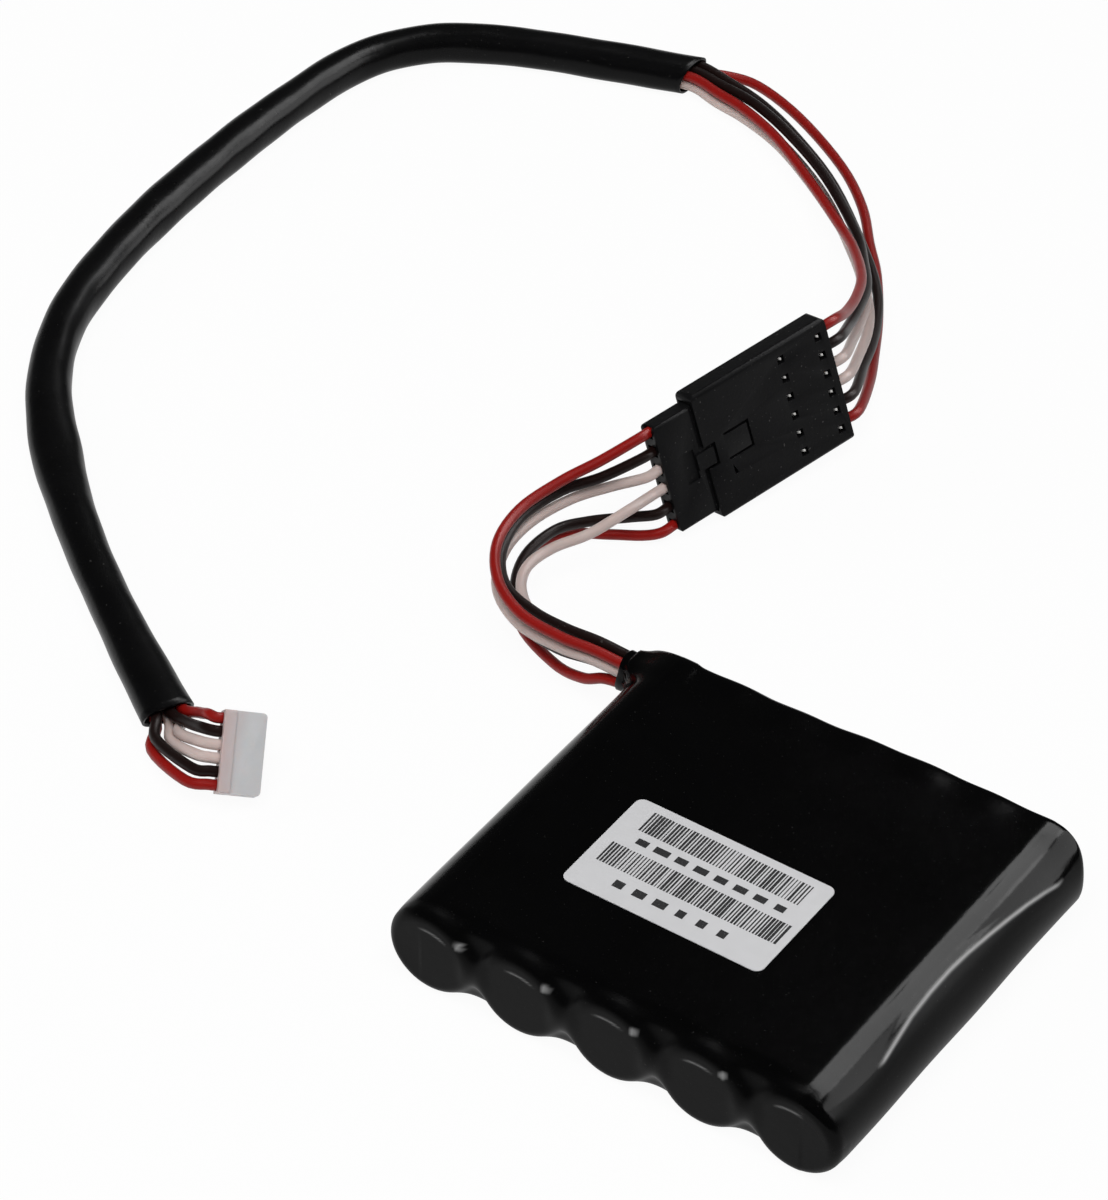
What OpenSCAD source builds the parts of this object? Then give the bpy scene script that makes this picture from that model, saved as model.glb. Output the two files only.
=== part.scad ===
// Capacitor pack that backs up a disk controller: five round capacitor cells side by side in
// black shrink film, with six leads to a mated inline connector, a sleeved harness and a small
// white plug.
// Frame: +X across the cells, +Y along the cells towards the leads, +Z up. The origin is the
// centre of the pack's flat underside.

/* [Cells] */
// Diameter of a bare cell
cell_d = 10.6; // [9:0.1:14]
// Length of a bare cell from its closed end to its rim
cell_l = 44.6; // [35:0.1:60]
// Gap between two sleeved cells
cell_gap = 0.66; // [0.3:0.02:1.5]
// Wall of the thin sleeve on each cell
sleeve_wall = 0.12; // [0.08:0.01:0.3]
// Radial clearance between a can and its sleeve
sleeve_fit = 0.02; // [0.01:0.01:0.05]
// Rounding of the can's two ends
can_edge = 0.6; // [0.3:0.1:0.9]
// Depth of the rolled groove near the seal
bead_depth = 0.4; // [0.2:0.05:0.5]
// Distance of the rolled groove from the can's open end
bead_at = 2.6; // [2.4:0.1:4]
// Diameter of the rubber seal
seal_d = 8.6; // [7:0.1:8.8]
// Thickness of the rubber seal
seal_t = 1.4; // [0.8:0.1:1.5]
// Depth of the seal's face below the can's rim
seal_sink = 0.3; // [0.1:0.05:0.4]
// Clearance round the seal
seal_fit = 0.03; // [0.01:0.01:0.06]
// Diameter of a cell's pins
pin_d = 0.8; // [0.6:0.05:0.8]
// Distance between the two pins of a cell
pin_pitch = 5; // [4.6:0.1:5.4]
// Length of a pin past the circuit board
pin_tail = 0.5; // [0.3:0.05:0.55]

/* [Shrink film] */
// Thickness of the shrunk film
film_t = 0.2; // [0.12:0.02:0.3]
// Clearance between the film and what it holds
film_fit = 0.02; // [0.01:0.01:0.05]
// How much narrower the film is over a can's end than along its side
rim_pull = 0.15; // [0.05:0.05:0.4]
// Rounding of the film over the rim of each can
rim_round = 1.1; // [0.9:0.1:1.6]
// Rounding of the film's long edges at the lead end
back_round = 2.6; // [1.6:0.1:3.2]
// Rounding of the film's corner away from the leads, seen from above
far_corner = 4.5; // [2:0.5:6]
// Rounding of the film's corner at the leads, seen from above
lead_corner = 1; // [0.5:0.1:1.5]
// Clearance of the leads in the film's neck
neck_fit = 0.15; // [0.1:0.05:0.2]
// Length of the gathered neck round the leads
neck_out = 2; // [0.5:0.1:3]
// Height of the neck's middle above the middle of the pack
neck_rise = 0.9; // [0:0.1:1.4]

/* [Inside the pack] */
// Thickness of the insulating disc on each front can end
pad_t = 0.7; // [0.5:0.05:0.85]
// Gap between a disc and the can behind it
disc_gap = 0.05; // [0.02:0.01:0.2]
// Free space between the cells and the circuit board
board_stand = 1.75; // [1.3:0.05:3]
// Thickness of the circuit board
board_t = 1; // [0.8:0.1:1.6]
// Height of the circuit board
board_h = 8.6; // [8:0.1:9]
// How far the board runs past the centres of the outer cells
board_past = 0.8; // [0:0.1:1]
// Free space between the board and the film for the leads
lead_room = 2.3; // [2.1:0.1:3]
// Gap between a lead and the pins that it crosses
lead_lift = 0.1; // [0.05:0.01:0.12]
// Clearance round a pin in the board
hole_fit = 0.1; // [0.05:0.01:0.15]
// Length, width and height of the chip thermistor
thermistor_size = [2, 1.25, 0.7]; // [0.5:0.05:2]
// Length, width and height of a balancing resistor
resistor_size = [2, 1.25, 0.5]; // [0.3:0.05:2]

/* [Label] */
// Width of the label along X
label_w = 25.4; // [15:0.2:36]
// Depth of the label along Y
label_d = 15.3; // [10:0.1:30]
// Thickness of the label
label_t = 0.1; // [0.05:0.01:0.2]
// Rounding of the label's corners
label_r = 1; // [0.2:0.1:2]
// Place of the label's centre on the pack's top
label_at = [-2.2, -4.9]; // [-8:0.1:8]

/* [Leads] */
// Outer diameter of a lead
wire_d = 1.3; // [1.0:0.05:1.3]
// Spacing of the leads where they lie together
wire_step = 1.45; // [1.45:0.01:1.5]
// Width of the tubing on the harness
tube_w = 5.8; // [5.8:0.1:6.4]
// Height of the tubing on the harness
tube_h = 4.8; // [4.8:0.1:5.2]
// Wall of the tubing
tube_wall = 0.3; // [0.2:0.02:0.34]

/* [Inline connector] */
// Spacing of the connector's rows
row_pitch = 2.54; // [2.54:0.01:2.6]
// Length of the harness housing
case_len = 20.7; // [19:0.1:24]
// Thickness of the harness housing
case_t = 3.1; // [3:0.1:4]
// Material of the harness housing beside the outer rows
case_side = 2.05; // [1.9:0.05:3]
// Rounding of the harness housing's long edges
case_round = 0.5; // [0.2:0.05:0.7]
// Wall over the pocket that takes the pack housing
pocket_wall = 0.4; // [0.3:0.05:0.5]
// Wall beside the pocket
pocket_side = 1; // [0.6:0.05:1.1]
// Depth of the pocket
pocket_depth = 8.2; // [7:0.1:9]
// Clearance round the pack housing's nose in the pocket
nose_fit = 0.05; // [0.03:0.01:0.1]
// Side of the square cavity for each terminal
cavity = 1.5; // [1.44:0.02:1.6]
// Distance of the terminal windows from the mating end
window_at = 13.4; // [11:0.1:15]
// Distance of the rear windows from the wire end
window_back = 1.5; // [1.2:0.1:2]
// Side of a terminal window
window = 1; // [0.6:0.05:1.3]
// Length of the latch slot along the housing
latch_len = 3.8; // [2:0.1:4]
// Distance of the latch slot from the mating end
latch_at = 3.1; // [2.6:0.1:4]
// Width of the latch tongue
latch_w = 3; // [2:0.1:5]
// Width of the slots that free the latch tongue
latch_slot = 0.35; // [0.2:0.05:0.6]
// Place of the small triangular slot, along and up the harness housing
wedge_at = [3.3, 4.5]; // [3:0.1:5]
// Length and height of the small triangular slot
wedge_size = [0.55, 1.4]; // [0.4:0.05:1.5]
// Length of the pack housing in front of the harness housing
cap_len = 5.3; // [4:0.1:8]
// Gap between the two housings' shoulders
cap_gap = 0.5; // [0.2:0.1:1]
// Thickness of the pack housing outside the pocket
cap_t = 2.5; // [2.4:0.05:3]
// Length of the latch block on the pack housing
block_len = 2.6; // [1.5:0.1:4]
// Width of the latch block on the pack housing
block_w = 2.2; // [1:0.1:4]

/* [Terminals] */
// Side of a female terminal's box
box_side = 1.3; // [1.2:0.02:1.36]
// Side of a male terminal's square pin
pin_side = 0.64; // [0.5:0.02:0.7]
// Clearance round the pin in the female box
pin_fit = 0.05; // [0.03:0.01:0.1]
// Length of the pin in front of its pocket's floor
pin_reach = 6; // [4:0.1:6.4]
// Length of the female box
box_len = 6; // [4:0.1:6.5]
// Length of a crimped barrel
barrel_len = 3; // [2:0.1:3.4]
// Length of wire inside each housing
wire_grip = 1.2; // [0.5:0.1:2]

/* [White plug] */
// Spacing of the white plug's rows
plug_pitch = 1.5; // [1.45:0.01:2]
// Length of the white plug
plug_len = 4.8; // [4.4:0.1:7]
// Thickness of the white plug
plug_t = 3.2; // [2.8:0.1:4]
// Material of the white plug beside the outer rows
plug_side = 0.9; // [0.85:0.05:2]
// Rounding of the white plug's corners
plug_round = 0.5; // [0.2:0.05:0.7]
// How much each broad face draws in towards the plug's free end
plug_taper = 0.3; // [0:0.05:0.35]
// Height of the rim at the wire end
plug_rim = 0.25; // [0.1:0.05:0.4]
// Length of the rim at the wire end
plug_rim_len = 1.3; // [0.8:0.1:1.6]
// Diameter of the wire entries
plug_entry = 1.36; // [1.36:0.01:1.38]
// Side of a contact's box
contact_side = 1.0; // [0.7:0.05:1.1]
// Clearance round a contact's box
contact_fit = 0.08; // [0.04:0.01:0.12]
// Depth of the wire entries
entry_depth = 1; // [0.6:0.1:1.4]

/* [Hidden] */
$fn = 48;
EDGE_SIDES = 24;
SMALL_SIDES = 16;
N_CELLS = 5;
N_WIRES = 6;

BLACK = [0.03, 0.03, 0.035];
GREY = [0.12, 0.12, 0.13];
TIN = [0.72, 0.71, 0.68];
WIRE_COLORS = [[0.65, 0.1, 0.08], [0.07, 0.04, 0.04], [0.8, 0.75, 0.73],
    [0.8, 0.75, 0.73], [0.07, 0.04, 0.04], [0.65, 0.1, 0.08]];
eps = 0.01;

// Places along Y, from the film's front to its back
cell_r = cell_d / 2;
sleeved_r = cell_r + sleeve_fit + sleeve_wall;
pitch = 2 * sleeved_r + cell_gap;
pack_r = sleeved_r + film_fit + film_t;
pack_h = 2 * pack_r;
pack_d = 2 * film_t + film_fit + pad_t + disc_gap + cell_l + board_stand + board_t + lead_room;
front_y = -pack_d / 2;
pad_y = front_y + film_t + film_fit;
ledge_y = pad_y + pad_t;
cell_y = ledge_y + disc_gap;
cell_back = cell_y + cell_l;
seal_y = cell_back - seal_sink - seal_t;
board_y = cell_back + board_stand;
board_back = board_y + board_t;
back_y = pack_d / 2;
half_row = (N_CELLS - 1) / 2 * pitch;
function cell_x(i) = i * pitch - half_row;

// The leads inside the pack, and the neck where they leave the film
lead_y = board_back + pin_tail + lead_lift + wire_d / 2;
neck_y = back_y - 2 * film_t - neck_fit - (wire_step + wire_d) / 2;
neck_z = pack_r + neck_rise;
neck_end = -half_row - pack_r - neck_out;
neck_in = [wire_step + wire_d + 2 * neck_fit, 2 * wire_step + wire_d + 2 * neck_fit];
neck_r = wire_d / 2 + neck_fit;
joint_r = 0.9; // a dome of solder where a lead ends
joint_h = 1.6;
joint_gap = 0.03;
joint_step = 1.6;
ring_r = 0.8; // a cone of solder round a pin
ring_h = 0.4;
ring_gap = 0.05;
CHIP_ROUND = 0.2;
function joint_x(k) = -half_row + (k + 1) * joint_step;

// Connector housings stand on a long edge: [x, y, z] of the lower mating corner of the broad
// face, then heading from +Y towards +X, rise along the housing, and lean away from +X
case_at = [-39.95, 57.5, 0.78];
case_turn = [16, 5, 17];
case_w = (N_WIRES - 1) * row_pitch + 2 * case_side;
mid_x = -case_t / 2;
pocket_t = case_t - 2 * pocket_wall;
pocket_w = case_w - 2 * pocket_side;
nose_t = pocket_t - 2 * nose_fit;
nose_play = 0.15; // further clearance beside the nose
nose_round = 0.2;
cap_round = 0.4;
latch_play = 0.4; // room round the latch block
recess = [2.6, 0.9, 0.2]; // behind the block: length, room beside it, depth
CASE_CORNERS = [0.8, 0.5, 0.8, 0.8]; // seen on the broad face, from the lower mating corner
CAP_CORNERS = [0.6, 0.1, 0.1, 0.6];
nose_w = pocket_w - 2 * nose_fit - 2 * nose_play;
nose_len = pocket_depth - cap_gap;
cap_back = -cap_gap - cap_len;
// Sheet metal of the terminals
box_back = 0.4; // from a female box to the nose's end, and from a male box to its cavity's end
box_floor = 0.3;
neck_half = 0.3;
sheet_t = 0.25;
male_box = 0.75; // length of a male box as a part of a female one
pin_tip = 0.5;
contact_wall = 0.2;
contact_floor = 0.8;
contact_back = 0.4; // from a contact to the plug's free end
function row_z(k) = case_side + (N_WIRES - 1 - k) * row_pitch;

// White plug, given the same way
plug_at = [-58.4, -16.2, 3.45];
plug_turn = [51, -12, 46];
plug_w = (N_WIRES - 1) * plug_pitch + 2 * plug_side;
function plug_z(k) = plug_side + (N_WIRES - 1 - k) * plug_pitch;

// Turns a point or a direction of a housing into the part's frame
function unturn(t, v) =
    let (a = [v.x * cos(t[2]) - v.z * sin(t[2]), v.y, v.x * sin(t[2]) + v.z * cos(t[2])],
        b = [a.x, a.y * cos(t[1]) - a.z * sin(t[1]), a.y * sin(t[1]) + a.z * cos(t[1])])
    [b.x * cos(t[0]) + b.y * sin(t[0]), -b.x * sin(t[0]) + b.y * cos(t[0]), b.z];
function case_point(p) = case_at + unturn(case_turn, p);
function plug_point(p) = plug_at + unturn(plug_turn, p);
module turned(at, t) {
    translate(at) rotate([t[1], 0, -t[0]]) rotate([0, -t[2], 0]) children();
}

// Route of each pack lead from the pack housing to the neck, from the top row down
PACK_LEADS = [
    [[-50.4, 46.8, 12], [-53, 42.6, 10.6], [-54.7, 36.8, 9.6], [-53.8, 31, 9], [-50.2, 26, 8.7],
        [-45, 23, 8.4], [-39, 22.3, 8.3], [-34.5, 22.6, 8.3]],
    [[-50, 46.6, 9.9], [-53.2, 43, 8.8], [-54.8, 37, 8.1], [-53.4, 31.2, 7.5], [-49.6, 26.8, 7.4],
        [-44.4, 24.9, 7.5], [-39.5, 24.2, 7.9], [-35, 24.2, 8.2]],
    [[-49.4, 47.8, 8], [-52.5, 44, 7.2], [-54.4, 38.4, 6.6], [-54.3, 33, 5.9], [-51.3, 27.4, 5.7],
        [-45.6, 23.6, 6], [-39.4, 22.6, 6.4], [-35, 22.6, 6.8]],
    [[-46.1, 46.6, 6.8], [-48.3, 41.8, 5.5], [-50.8, 38, 4.8], [-51.6, 34, 4.5], [-50, 30.3, 4.5],
        [-46.4, 27.2, 4.7], [-41, 25.1, 5.4], [-35.5, 24.3, 6.5]],
    [[-47.5, 49, 3.4], [-51.5, 46.3, 2.7], [-54, 42.9, 2.5], [-54.1, 37, 2.7], [-51.5, 31.2, 3],
        [-46.8, 26.4, 3.2], [-41, 24.6, 3.9], [-35.5, 24.3, 5]],
    [[-46, 49.3, 1.1], [-49.4, 47.6, 0.8], [-53.3, 45, 0.75], [-54.9, 40.6, 0.75],
        [-53.4, 34.8, 0.8], [-48.8, 28.4, 0.9], [-41.4, 24.6, 1.4], [-36.4, 23, 2.9], [-33.4, 22.8, 4.5]]];

// Route of each harness lead from the harness housing to the tubing
HARNESS_LEADS = [
    [[-40.8, 84.8, 13.9], [-42.9, 90.6, 11.6], [-46, 96.8, 9.4], [-51.3, 103.6, 7],
        [-56.8, 108.9, 5.2], [-65.4, 115.9, 3.7], [-74, 121.6, 3.4], [-80.8, 124.6, 3.3],
        [-86, 125.9, 3.2]],
    [[-40.6, 85.1, 11.6], [-42.5, 90.5, 9.9], [-45.2, 96.8, 8.1], [-49.4, 102.9, 6.2],
        [-54.2, 108.8, 5], [-63.8, 117, 4.4], [-72.8, 122.5, 4.1], [-80.3, 126, 3.7],
        [-86.5, 127.5, 3.3]],
    [[-40.3, 85.7, 9.1], [-42.4, 91, 7.6], [-45.2, 96.9, 6], [-49.1, 102.6, 4.5],
        [-54.6, 108.5, 3.1], [-65, 116.6, 2.1], [-74, 122.2, 1.8], [-81, 124.8, 1.7],
        [-86.3, 125.9, 1.6]],
    [[-39.8, 86.6, 6.6], [-42.1, 92.2, 5.2], [-45, 97.4, 3.9], [-49, 102.6, 2.7],
        [-54.4, 108.7, 1.5], [-64, 117.4, 0.9], [-73.2, 123.2, 0.8], [-80.6, 126.3, 0.8],
        [-86.4, 127.4, 1.3]],
    [[-39.5, 87.3, 4.6], [-41.5, 92.4, 3.5], [-44, 97.6, 2.5], [-47.3, 103, 2.3],
        [-52.6, 108.7, 2.4], [-62.9, 117.6, 3], [-72, 123.4, 3], [-79.9, 127.3, 2.9],
        [-86.9, 129, 3.1]],
    [[-38.8, 87.8, 2.2], [-42.1, 94.2, 1], [-45.6, 100.6, 0.75], [-50.2, 107.6, 0.75],
        [-54.4, 112.6, 0.75], [-59.3, 118.6, 0.75], [-66.1, 124.4, 0.75], [-76.2, 130.2, 0.75],
        [-84.4, 133, 0.8], [-89, 132, 1.2]]];

// Route of each harness lead between the tubing and the white plug
PLUG_LEADS = [
    [[-66.5, -8.8, 5.7], [-64, -10.3, 7.9]],
    [[-67.4, -10, 4.7], [-63.8, -11.6, 6.9]],
    [[-68.1, -10.6, 3.2], [-63.4, -12.8, 6]],
    [[-68.6, -11.5, 2.4], [-63.1, -14, 5.1]],
    [[-69.6, -12.9, 3.1], [-62.9, -15.1, 4]],
    [[-69.9, -13.4, 1.7], [-63, -16.2, 2.9]]];

// Route of the tubing on the table, as [x, y]
TUBE_ROUTE = [
    [-91.5, 128.3], [-103, 124.5], [-114.5, 120.2], [-123.5, 114.6], [-128.8, 106], [-130.6, 93],
    [-131, 80], [-130.6, 66.5], [-129, 53], [-125.8, 41], [-119.6, 30.2], [-110, 20],
    [-98.5, 10.2], [-85.4, 0.8], [-71.6, -8.2]];
table_gap = 0.02; // under the tubing
tube_z = tube_h / 2 + table_gap;
TUBE_SPLIT = 2;
WIRE_SPLIT = 3;
TUBE_SIDES = 12;
WIRE_SIDES = 8;

// Smooth curve through points, with its ends carried on
function spline(a, b, c, d, t) = 0.5 * (2 * b + (c - a) * t + (2 * a - 5 * b + 4 * c - d) * t * t
    + (3 * b - a - 3 * c + d) * t * t * t);
function before(p) = 2 * p[0] - p[1];
function after(p) = 2 * p[len(p) - 1] - p[len(p) - 2];
function at(p, i) = i < 0 ? before(p) : i > len(p) - 1 ? after(p) : p[i];
// Points of the curve: spans whose two ends lie from first to last stay straight
function smooth(p, n, first = 0, last = -1) = concat(
    [for (i = [0:len(p) - 2]) let (m = (i >= first && i < last) ? 1 : n)
        for (j = [0:m - 1]) spline(at(p, i - 1), p[i], p[i + 1], at(p, i + 2), j / m)],
    [p[len(p) - 1]]);

function unit(v) = v / norm(v);
function heading(p, i) = unit(at(p, i + 1) - at(p, i - 1));
function sideways(p, i) = unit(cross([0, 0, 1], heading(p, i)));
function ring(p, i, w, h, n) = let (s = sideways(p, i), u = cross(heading(p, i), s))
    [for (k = [0:n - 1]) let (a = 360 * k / n) p[i] + s * cos(a) * w / 2 + u * sin(a) * h / 2];

// Place of each lead across the neck and across the tubing, in steps of the bundle
NECK_SIDE = [-0.5, 0.5, -0.5, 0.5, 0.5, -0.5];
NECK_UP = [1, 1, 0, 0, -1.05, -1.05];
TUBE_SIDE = [1, 0, 1, 0, -1, -1];
TUBE_UP = [0.5, 0.5, -0.5, -0.5, 0.5, -0.5];
function row_up(k) = ((N_WIRES - 1) / 2 - k) * wire_step;

// Distances along X from the outer cell's centre, at which the leads leave the neck and turn
// from its two columns to one row on the board
neck_past = 0.4;
turn_start = 4.1;
turn_mid = 2.8;
turn_end = 1.1;
housing_lead = 2; // straight stretch of a lead in front of the pack housing
harness_lead = 2.5; // the same behind the harness housing
plug_lead = 0.8; // the same at the white plug
// Place of lead k at part f of that turn
function turning(k, x, f, z) = [x,
    neck_y + f * (lead_y - neck_y) + cos(90 * f) * NECK_SIDE[k] * wire_step,
    z + cos(90 * f) * NECK_UP[k] * wire_step + sin(90 * f) * row_up(k)];

function pack_path(k) = smooth(concat(
    [for (y = [cap_back + wire_grip, cap_back, cap_back - housing_lead])
        case_point([mid_x, y, row_z(k)])],
    PACK_LEADS[k],
    [for (x = [neck_end, neck_end + neck_out + neck_past]) turning(k, x, 0, neck_z)],
    [turning(k, -half_row - turn_start, 0.12, (neck_z + pack_r) / 2),
        turning(k, -half_row - turn_mid, 0.5, pack_r)],
    [for (x = [-half_row - turn_end, joint_x(k)]) turning(k, x, 1, pack_r)]), WIRE_SPLIT);

tube_line = smooth([for (p = TUBE_ROUTE) [p.x, p.y, tube_z]], TUBE_SPLIT);
function in_tube(k) = [for (i = [0:len(tube_line) - 1]) tube_line[i]
    + [0, 0, TUBE_UP[k] * wire_step] + sideways(tube_line, i) * TUBE_SIDE[k] * wire_step];
function harness_start(k) = concat(
    [for (y = [case_len - wire_grip, case_len, case_len + harness_lead])
        case_point([mid_x, y, row_z(k)])],
    HARNESS_LEADS[k]);
function plug_end(k) = [for (y = [-plug_lead, 0, entry_depth])
    plug_point([-plug_t / 2, y, plug_z(k)])];
function harness_path(k) = let (a = harness_start(k), b = in_tube(k))
    smooth(concat(a, b, PLUG_LEADS[k], plug_end(k)), WIRE_SPLIT, len(a), len(a) + len(b) - 1);

// ---------------------------------------------------------------- shared forms

// Rectangle whose four corners have their own rounding, from the lower left anticlockwise
module round_rect(lo, hi, r) {
    corners = [[lo.x, lo.y, 1, 1], [hi.x, lo.y, -1, 1], [hi.x, hi.y, -1, -1], [lo.x, hi.y, 1, -1]];
    difference() {
        translate(lo) square(hi - lo);
        for (i = [0:3]) let (c = corners[i])
            translate([c[0], c[1]]) flip_corner(c[2], c[3]) difference() {
                translate([-1, -1]) square(r[i] + 1);
                translate([r[i], r[i]]) circle(r = r[i]);
            }
    }
}
module flip_corner(sx, sy) {
    mirror([sx < 0 ? 1 : 0, 0]) mirror([0, sy < 0 ? 1 : 0]) children();
}
module bar(w, l) { // flat bar with round ends, from the origin along +X
    translate([0, -w / 2]) square([l, w]);
    circle(d = w);
    translate([l, 0]) circle(d = w);
}
module along_y(y0, y1) { // extrudes a profile drawn in X and Z along Y
    translate([0, y1, 0]) rotate([90, 0, 0]) linear_extrude(y1 - y0) children();
}
module along_x(x0, x1) { // extrudes a profile drawn in Y and Z along X
    translate([x0, 0, 0]) rotate([90, 0, 90]) linear_extrude(x1 - x0) children();
}
module block(lo, hi) { translate(lo) cube(hi - lo); }
module tube(p, w, h, n) {
    m = len(p);
    polyhedron(
        points = [for (i = [0:m - 1]) each ring(p, i, w, h, n)],
        faces = concat(
            [[for (k = [0:n - 1]) k], [for (k = [0:n - 1]) m * n - 1 - k]],
            [for (i = [0:m - 2], k = [0:n - 1]) let (a = i * n + k, b = i * n + (k + 1) % n)
                each [[a, a + n, b + n], [a, b + n, b]]]));
}
module hollow_tube(p, w, h, t, n) {
    m = len(p);
    q = m * n;
    polyhedron(
        points = concat([for (i = [0:m - 1]) each ring(p, i, w, h, n)],
            [for (i = [0:m - 1]) each ring(p, i, w - 2 * t, h - 2 * t, n)]),
        faces = concat(
            [for (i = [0:m - 2], k = [0:n - 1]) let (a = i * n + k, b = i * n + (k + 1) % n)
                each [[a, a + n, b + n], [a, b + n, b],
                    [q + a, q + b + n, q + a + n], [q + a, q + b, q + b + n]]],
            [for (k = [0:n - 1]) let (j = (k + 1) % n, e = (m - 1) * n)
                each [[k, j, q + j], [k, q + j, q + k],
                    [e + k, q + e + j, e + j], [e + k, q + e + k, q + e + j]]]));
}

// ---------------------------------------------------------------- the pack

// Outline of a can's end: a disc whose front edge is rounded, as radius and height
module disc_profile(r, edge, h) {
    square([r - edge, h]);
    intersection() {
        translate([r - edge, edge]) circle(r = edge);
        translate([r - edge - eps, 0]) square([edge + eps, h]);
    }
    if (h > edge) translate([0, edge]) square([r, h - edge]);
}
module front_disc(i, r, edge, y, h) {
    translate([cell_x(i), y, pack_r]) rotate([-90, 0, 0]) rotate_extrude()
        disc_profile(r, edge, h);
}
// The wrapped form, drawn in from its outside by t
module wrap_form(t) {
    deep = 1.5;
    intersection() {
        along_y(ledge_y - film_t + t, back_y - t) {
            for (s = [-1, 1]) translate([s * half_row, pack_r]) circle(r = pack_r - t);
            translate([-half_row, t]) square([2 * half_row, pack_h - 2 * t]);
        }
        linear_extrude(pack_h) round_rect([t - half_row - pack_r, ledge_y - film_t + t],
            [half_row + pack_r - t, back_y - t],
            [rim_pull, rim_pull, far_corner - t, lead_corner - t]);
        along_x(-half_row - pack_r, half_row + pack_r)
            round_rect([ledge_y - film_t + t, t], [back_y - t, pack_h - t],
                [rim_pull, back_round - t, back_round - t, rim_pull]);
    }
    for (i = [0:N_CELLS - 1])
        front_disc(i, pack_r - rim_pull - t, rim_round - t, front_y + t,
            ledge_y - front_y - film_t + deep);
}
module neck(grow, x0, x1) {
    h = neck_in / 2 + [grow, grow];
    along_x(x0, x1) translate([neck_y, neck_z])
        round_rect(-h, h, [for (i = [0:3]) neck_r + grow]);
}
module shrink_wrap() {
    inside = neck_end + neck_out + 3; // where the neck ends within the wrapped form
    color(BLACK) difference() {
        union() {
            wrap_form(0);
            neck(film_t, neck_end, inside);
        }
        wrap_form(film_t);
        neck(0, neck_end - 1, inside);
    }
}

module label() {
    h = [label_w, label_d] / 2;
    color([0.8, 0.79, 0.78]) translate([label_at.x, label_at.y, pack_h]) linear_extrude(label_t)
        round_rect(-h, h, [for (i = [0:3]) label_r]);
}

// Can with its winding as one solid: closed end in front, groove and seal recess at the rear
module cell(i) {
    recess_y = seal_y - cell_y;
    color([0.55, 0.56, 0.58]) translate([cell_x(i), cell_y, pack_r]) rotate([-90, 0, 0])
        rotate_extrude() difference() {
            union() {
                square([cell_r - can_edge, cell_l]);
                translate([0, can_edge]) square([cell_r, cell_l - 2 * can_edge]);
                for (y = [can_edge, cell_l - can_edge])
                    translate([cell_r - can_edge, y]) circle(r = can_edge, $fn = EDGE_SIDES);
            }
            translate([cell_r + bead_depth, cell_l - bead_at])
                circle(r = 2 * bead_depth, $fn = EDGE_SIDES);
            translate([-1, recess_y]) square([1 + seal_d / 2 + seal_fit, seal_t + seal_sink + 1]);
        }
}
module cell_sleeves() {
    color([0.16, 0.3, 0.2]) for (i = [0:N_CELLS - 1])
        translate([cell_x(i), cell_y + can_edge, pack_r]) rotate([-90, 0, 0]) difference() {
            cylinder(r = sleeved_r, h = cell_l - 2 * can_edge);
            translate([0, 0, -1]) cylinder(r = cell_r + sleeve_fit, h = cell_l);
        }
}
module front_discs() {
    color([0.75, 0.72, 0.66]) for (i = [0:N_CELLS - 1])
        front_disc(i, pack_r - rim_pull - film_t - film_fit, rim_round - film_t, pad_y, pad_t);
}

// One copy of a form, drawn upwards, at each pin of every cell, along +Y from y
module at_pins(y) {
    for (i = [0:N_CELLS - 1], s = [-1, 1])
        translate([cell_x(i), y, pack_r + s * pin_pitch / 2]) rotate([-90, 0, 0])
            children();
}
module end_seals() {
    color([0.08, 0.08, 0.08]) difference() {
        for (i = [0:N_CELLS - 1])
            translate([cell_x(i), seal_y + seal_fit, pack_r]) rotate([-90, 0, 0])
                cylinder(d = seal_d, h = seal_t - seal_fit);
        at_pins(seal_y - 1) cylinder(d = pin_d + 2 * seal_fit, h = seal_t + 2, $fn = SMALL_SIDES);
    }
}
module cell_pins() {
    color(TIN) at_pins(seal_y + seal_fit)
        cylinder(d = pin_d, h = board_back + pin_tail - seal_y - seal_fit, $fn = SMALL_SIDES);
}
module circuit_board() {
    h = [half_row + board_past, board_h / 2];
    color([0.1, 0.3, 0.16]) difference() {
        along_y(board_y, board_back) translate([0, pack_r]) round_rect(-h, h, [1, 1, 1, 1]);
        at_pins(board_y - 1) cylinder(d = pin_d + 2 * hole_fit, h = board_t + 2, $fn = SMALL_SIDES);
    }
}
module on_board(x, size) { // a part that stands on the board's face towards the cells
    h = [size.x, size.y] / 2;
    translate([x, board_y - size.z, pack_r]) rotate([-90, 0, 0])
        linear_extrude(size.z) round_rect(-h, h, [for (i = [0:3]) CHIP_ROUND]);
}
module balance_resistors() {
    color(GREY) for (i = [0:N_CELLS - 1]) on_board(cell_x(i), resistor_size);
}
module thermistor() { color(GREY) on_board(pitch / 2, thermistor_size); }
// Domes of solder on the board, flat towards the lead that ends there, and cones round the pins
module solder_joints() {
    color([0.75, 0.76, 0.78]) {
        for (k = [0:N_WIRES - 1]) intersection() {
            translate([joint_x(k), board_back, pack_r + row_up(k)]) rotate([-90, 0, 0])
                rotate_extrude($fn = EDGE_SIDES) intersection() {
                    union() {
                        translate([0, joint_h - joint_r]) circle(r = joint_r);
                        square([joint_r, joint_h - joint_r]);
                    }
                    square([joint_r, joint_h]);
                }
            block([joint_x(k) + joint_gap, board_back, 0],
                [joint_x(k) + joint_r, board_back + joint_h, pack_h]);
        }
        at_pins(board_back) difference() {
            cylinder(r1 = ring_r, r2 = pin_d / 2 + 2 * ring_gap, h = ring_h, $fn = SMALL_SIDES);
            translate([0, 0, -1])
                cylinder(r = pin_d / 2 + ring_gap, h = ring_h + 2, $fn = SMALL_SIDES);
        }
    }
}

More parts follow.
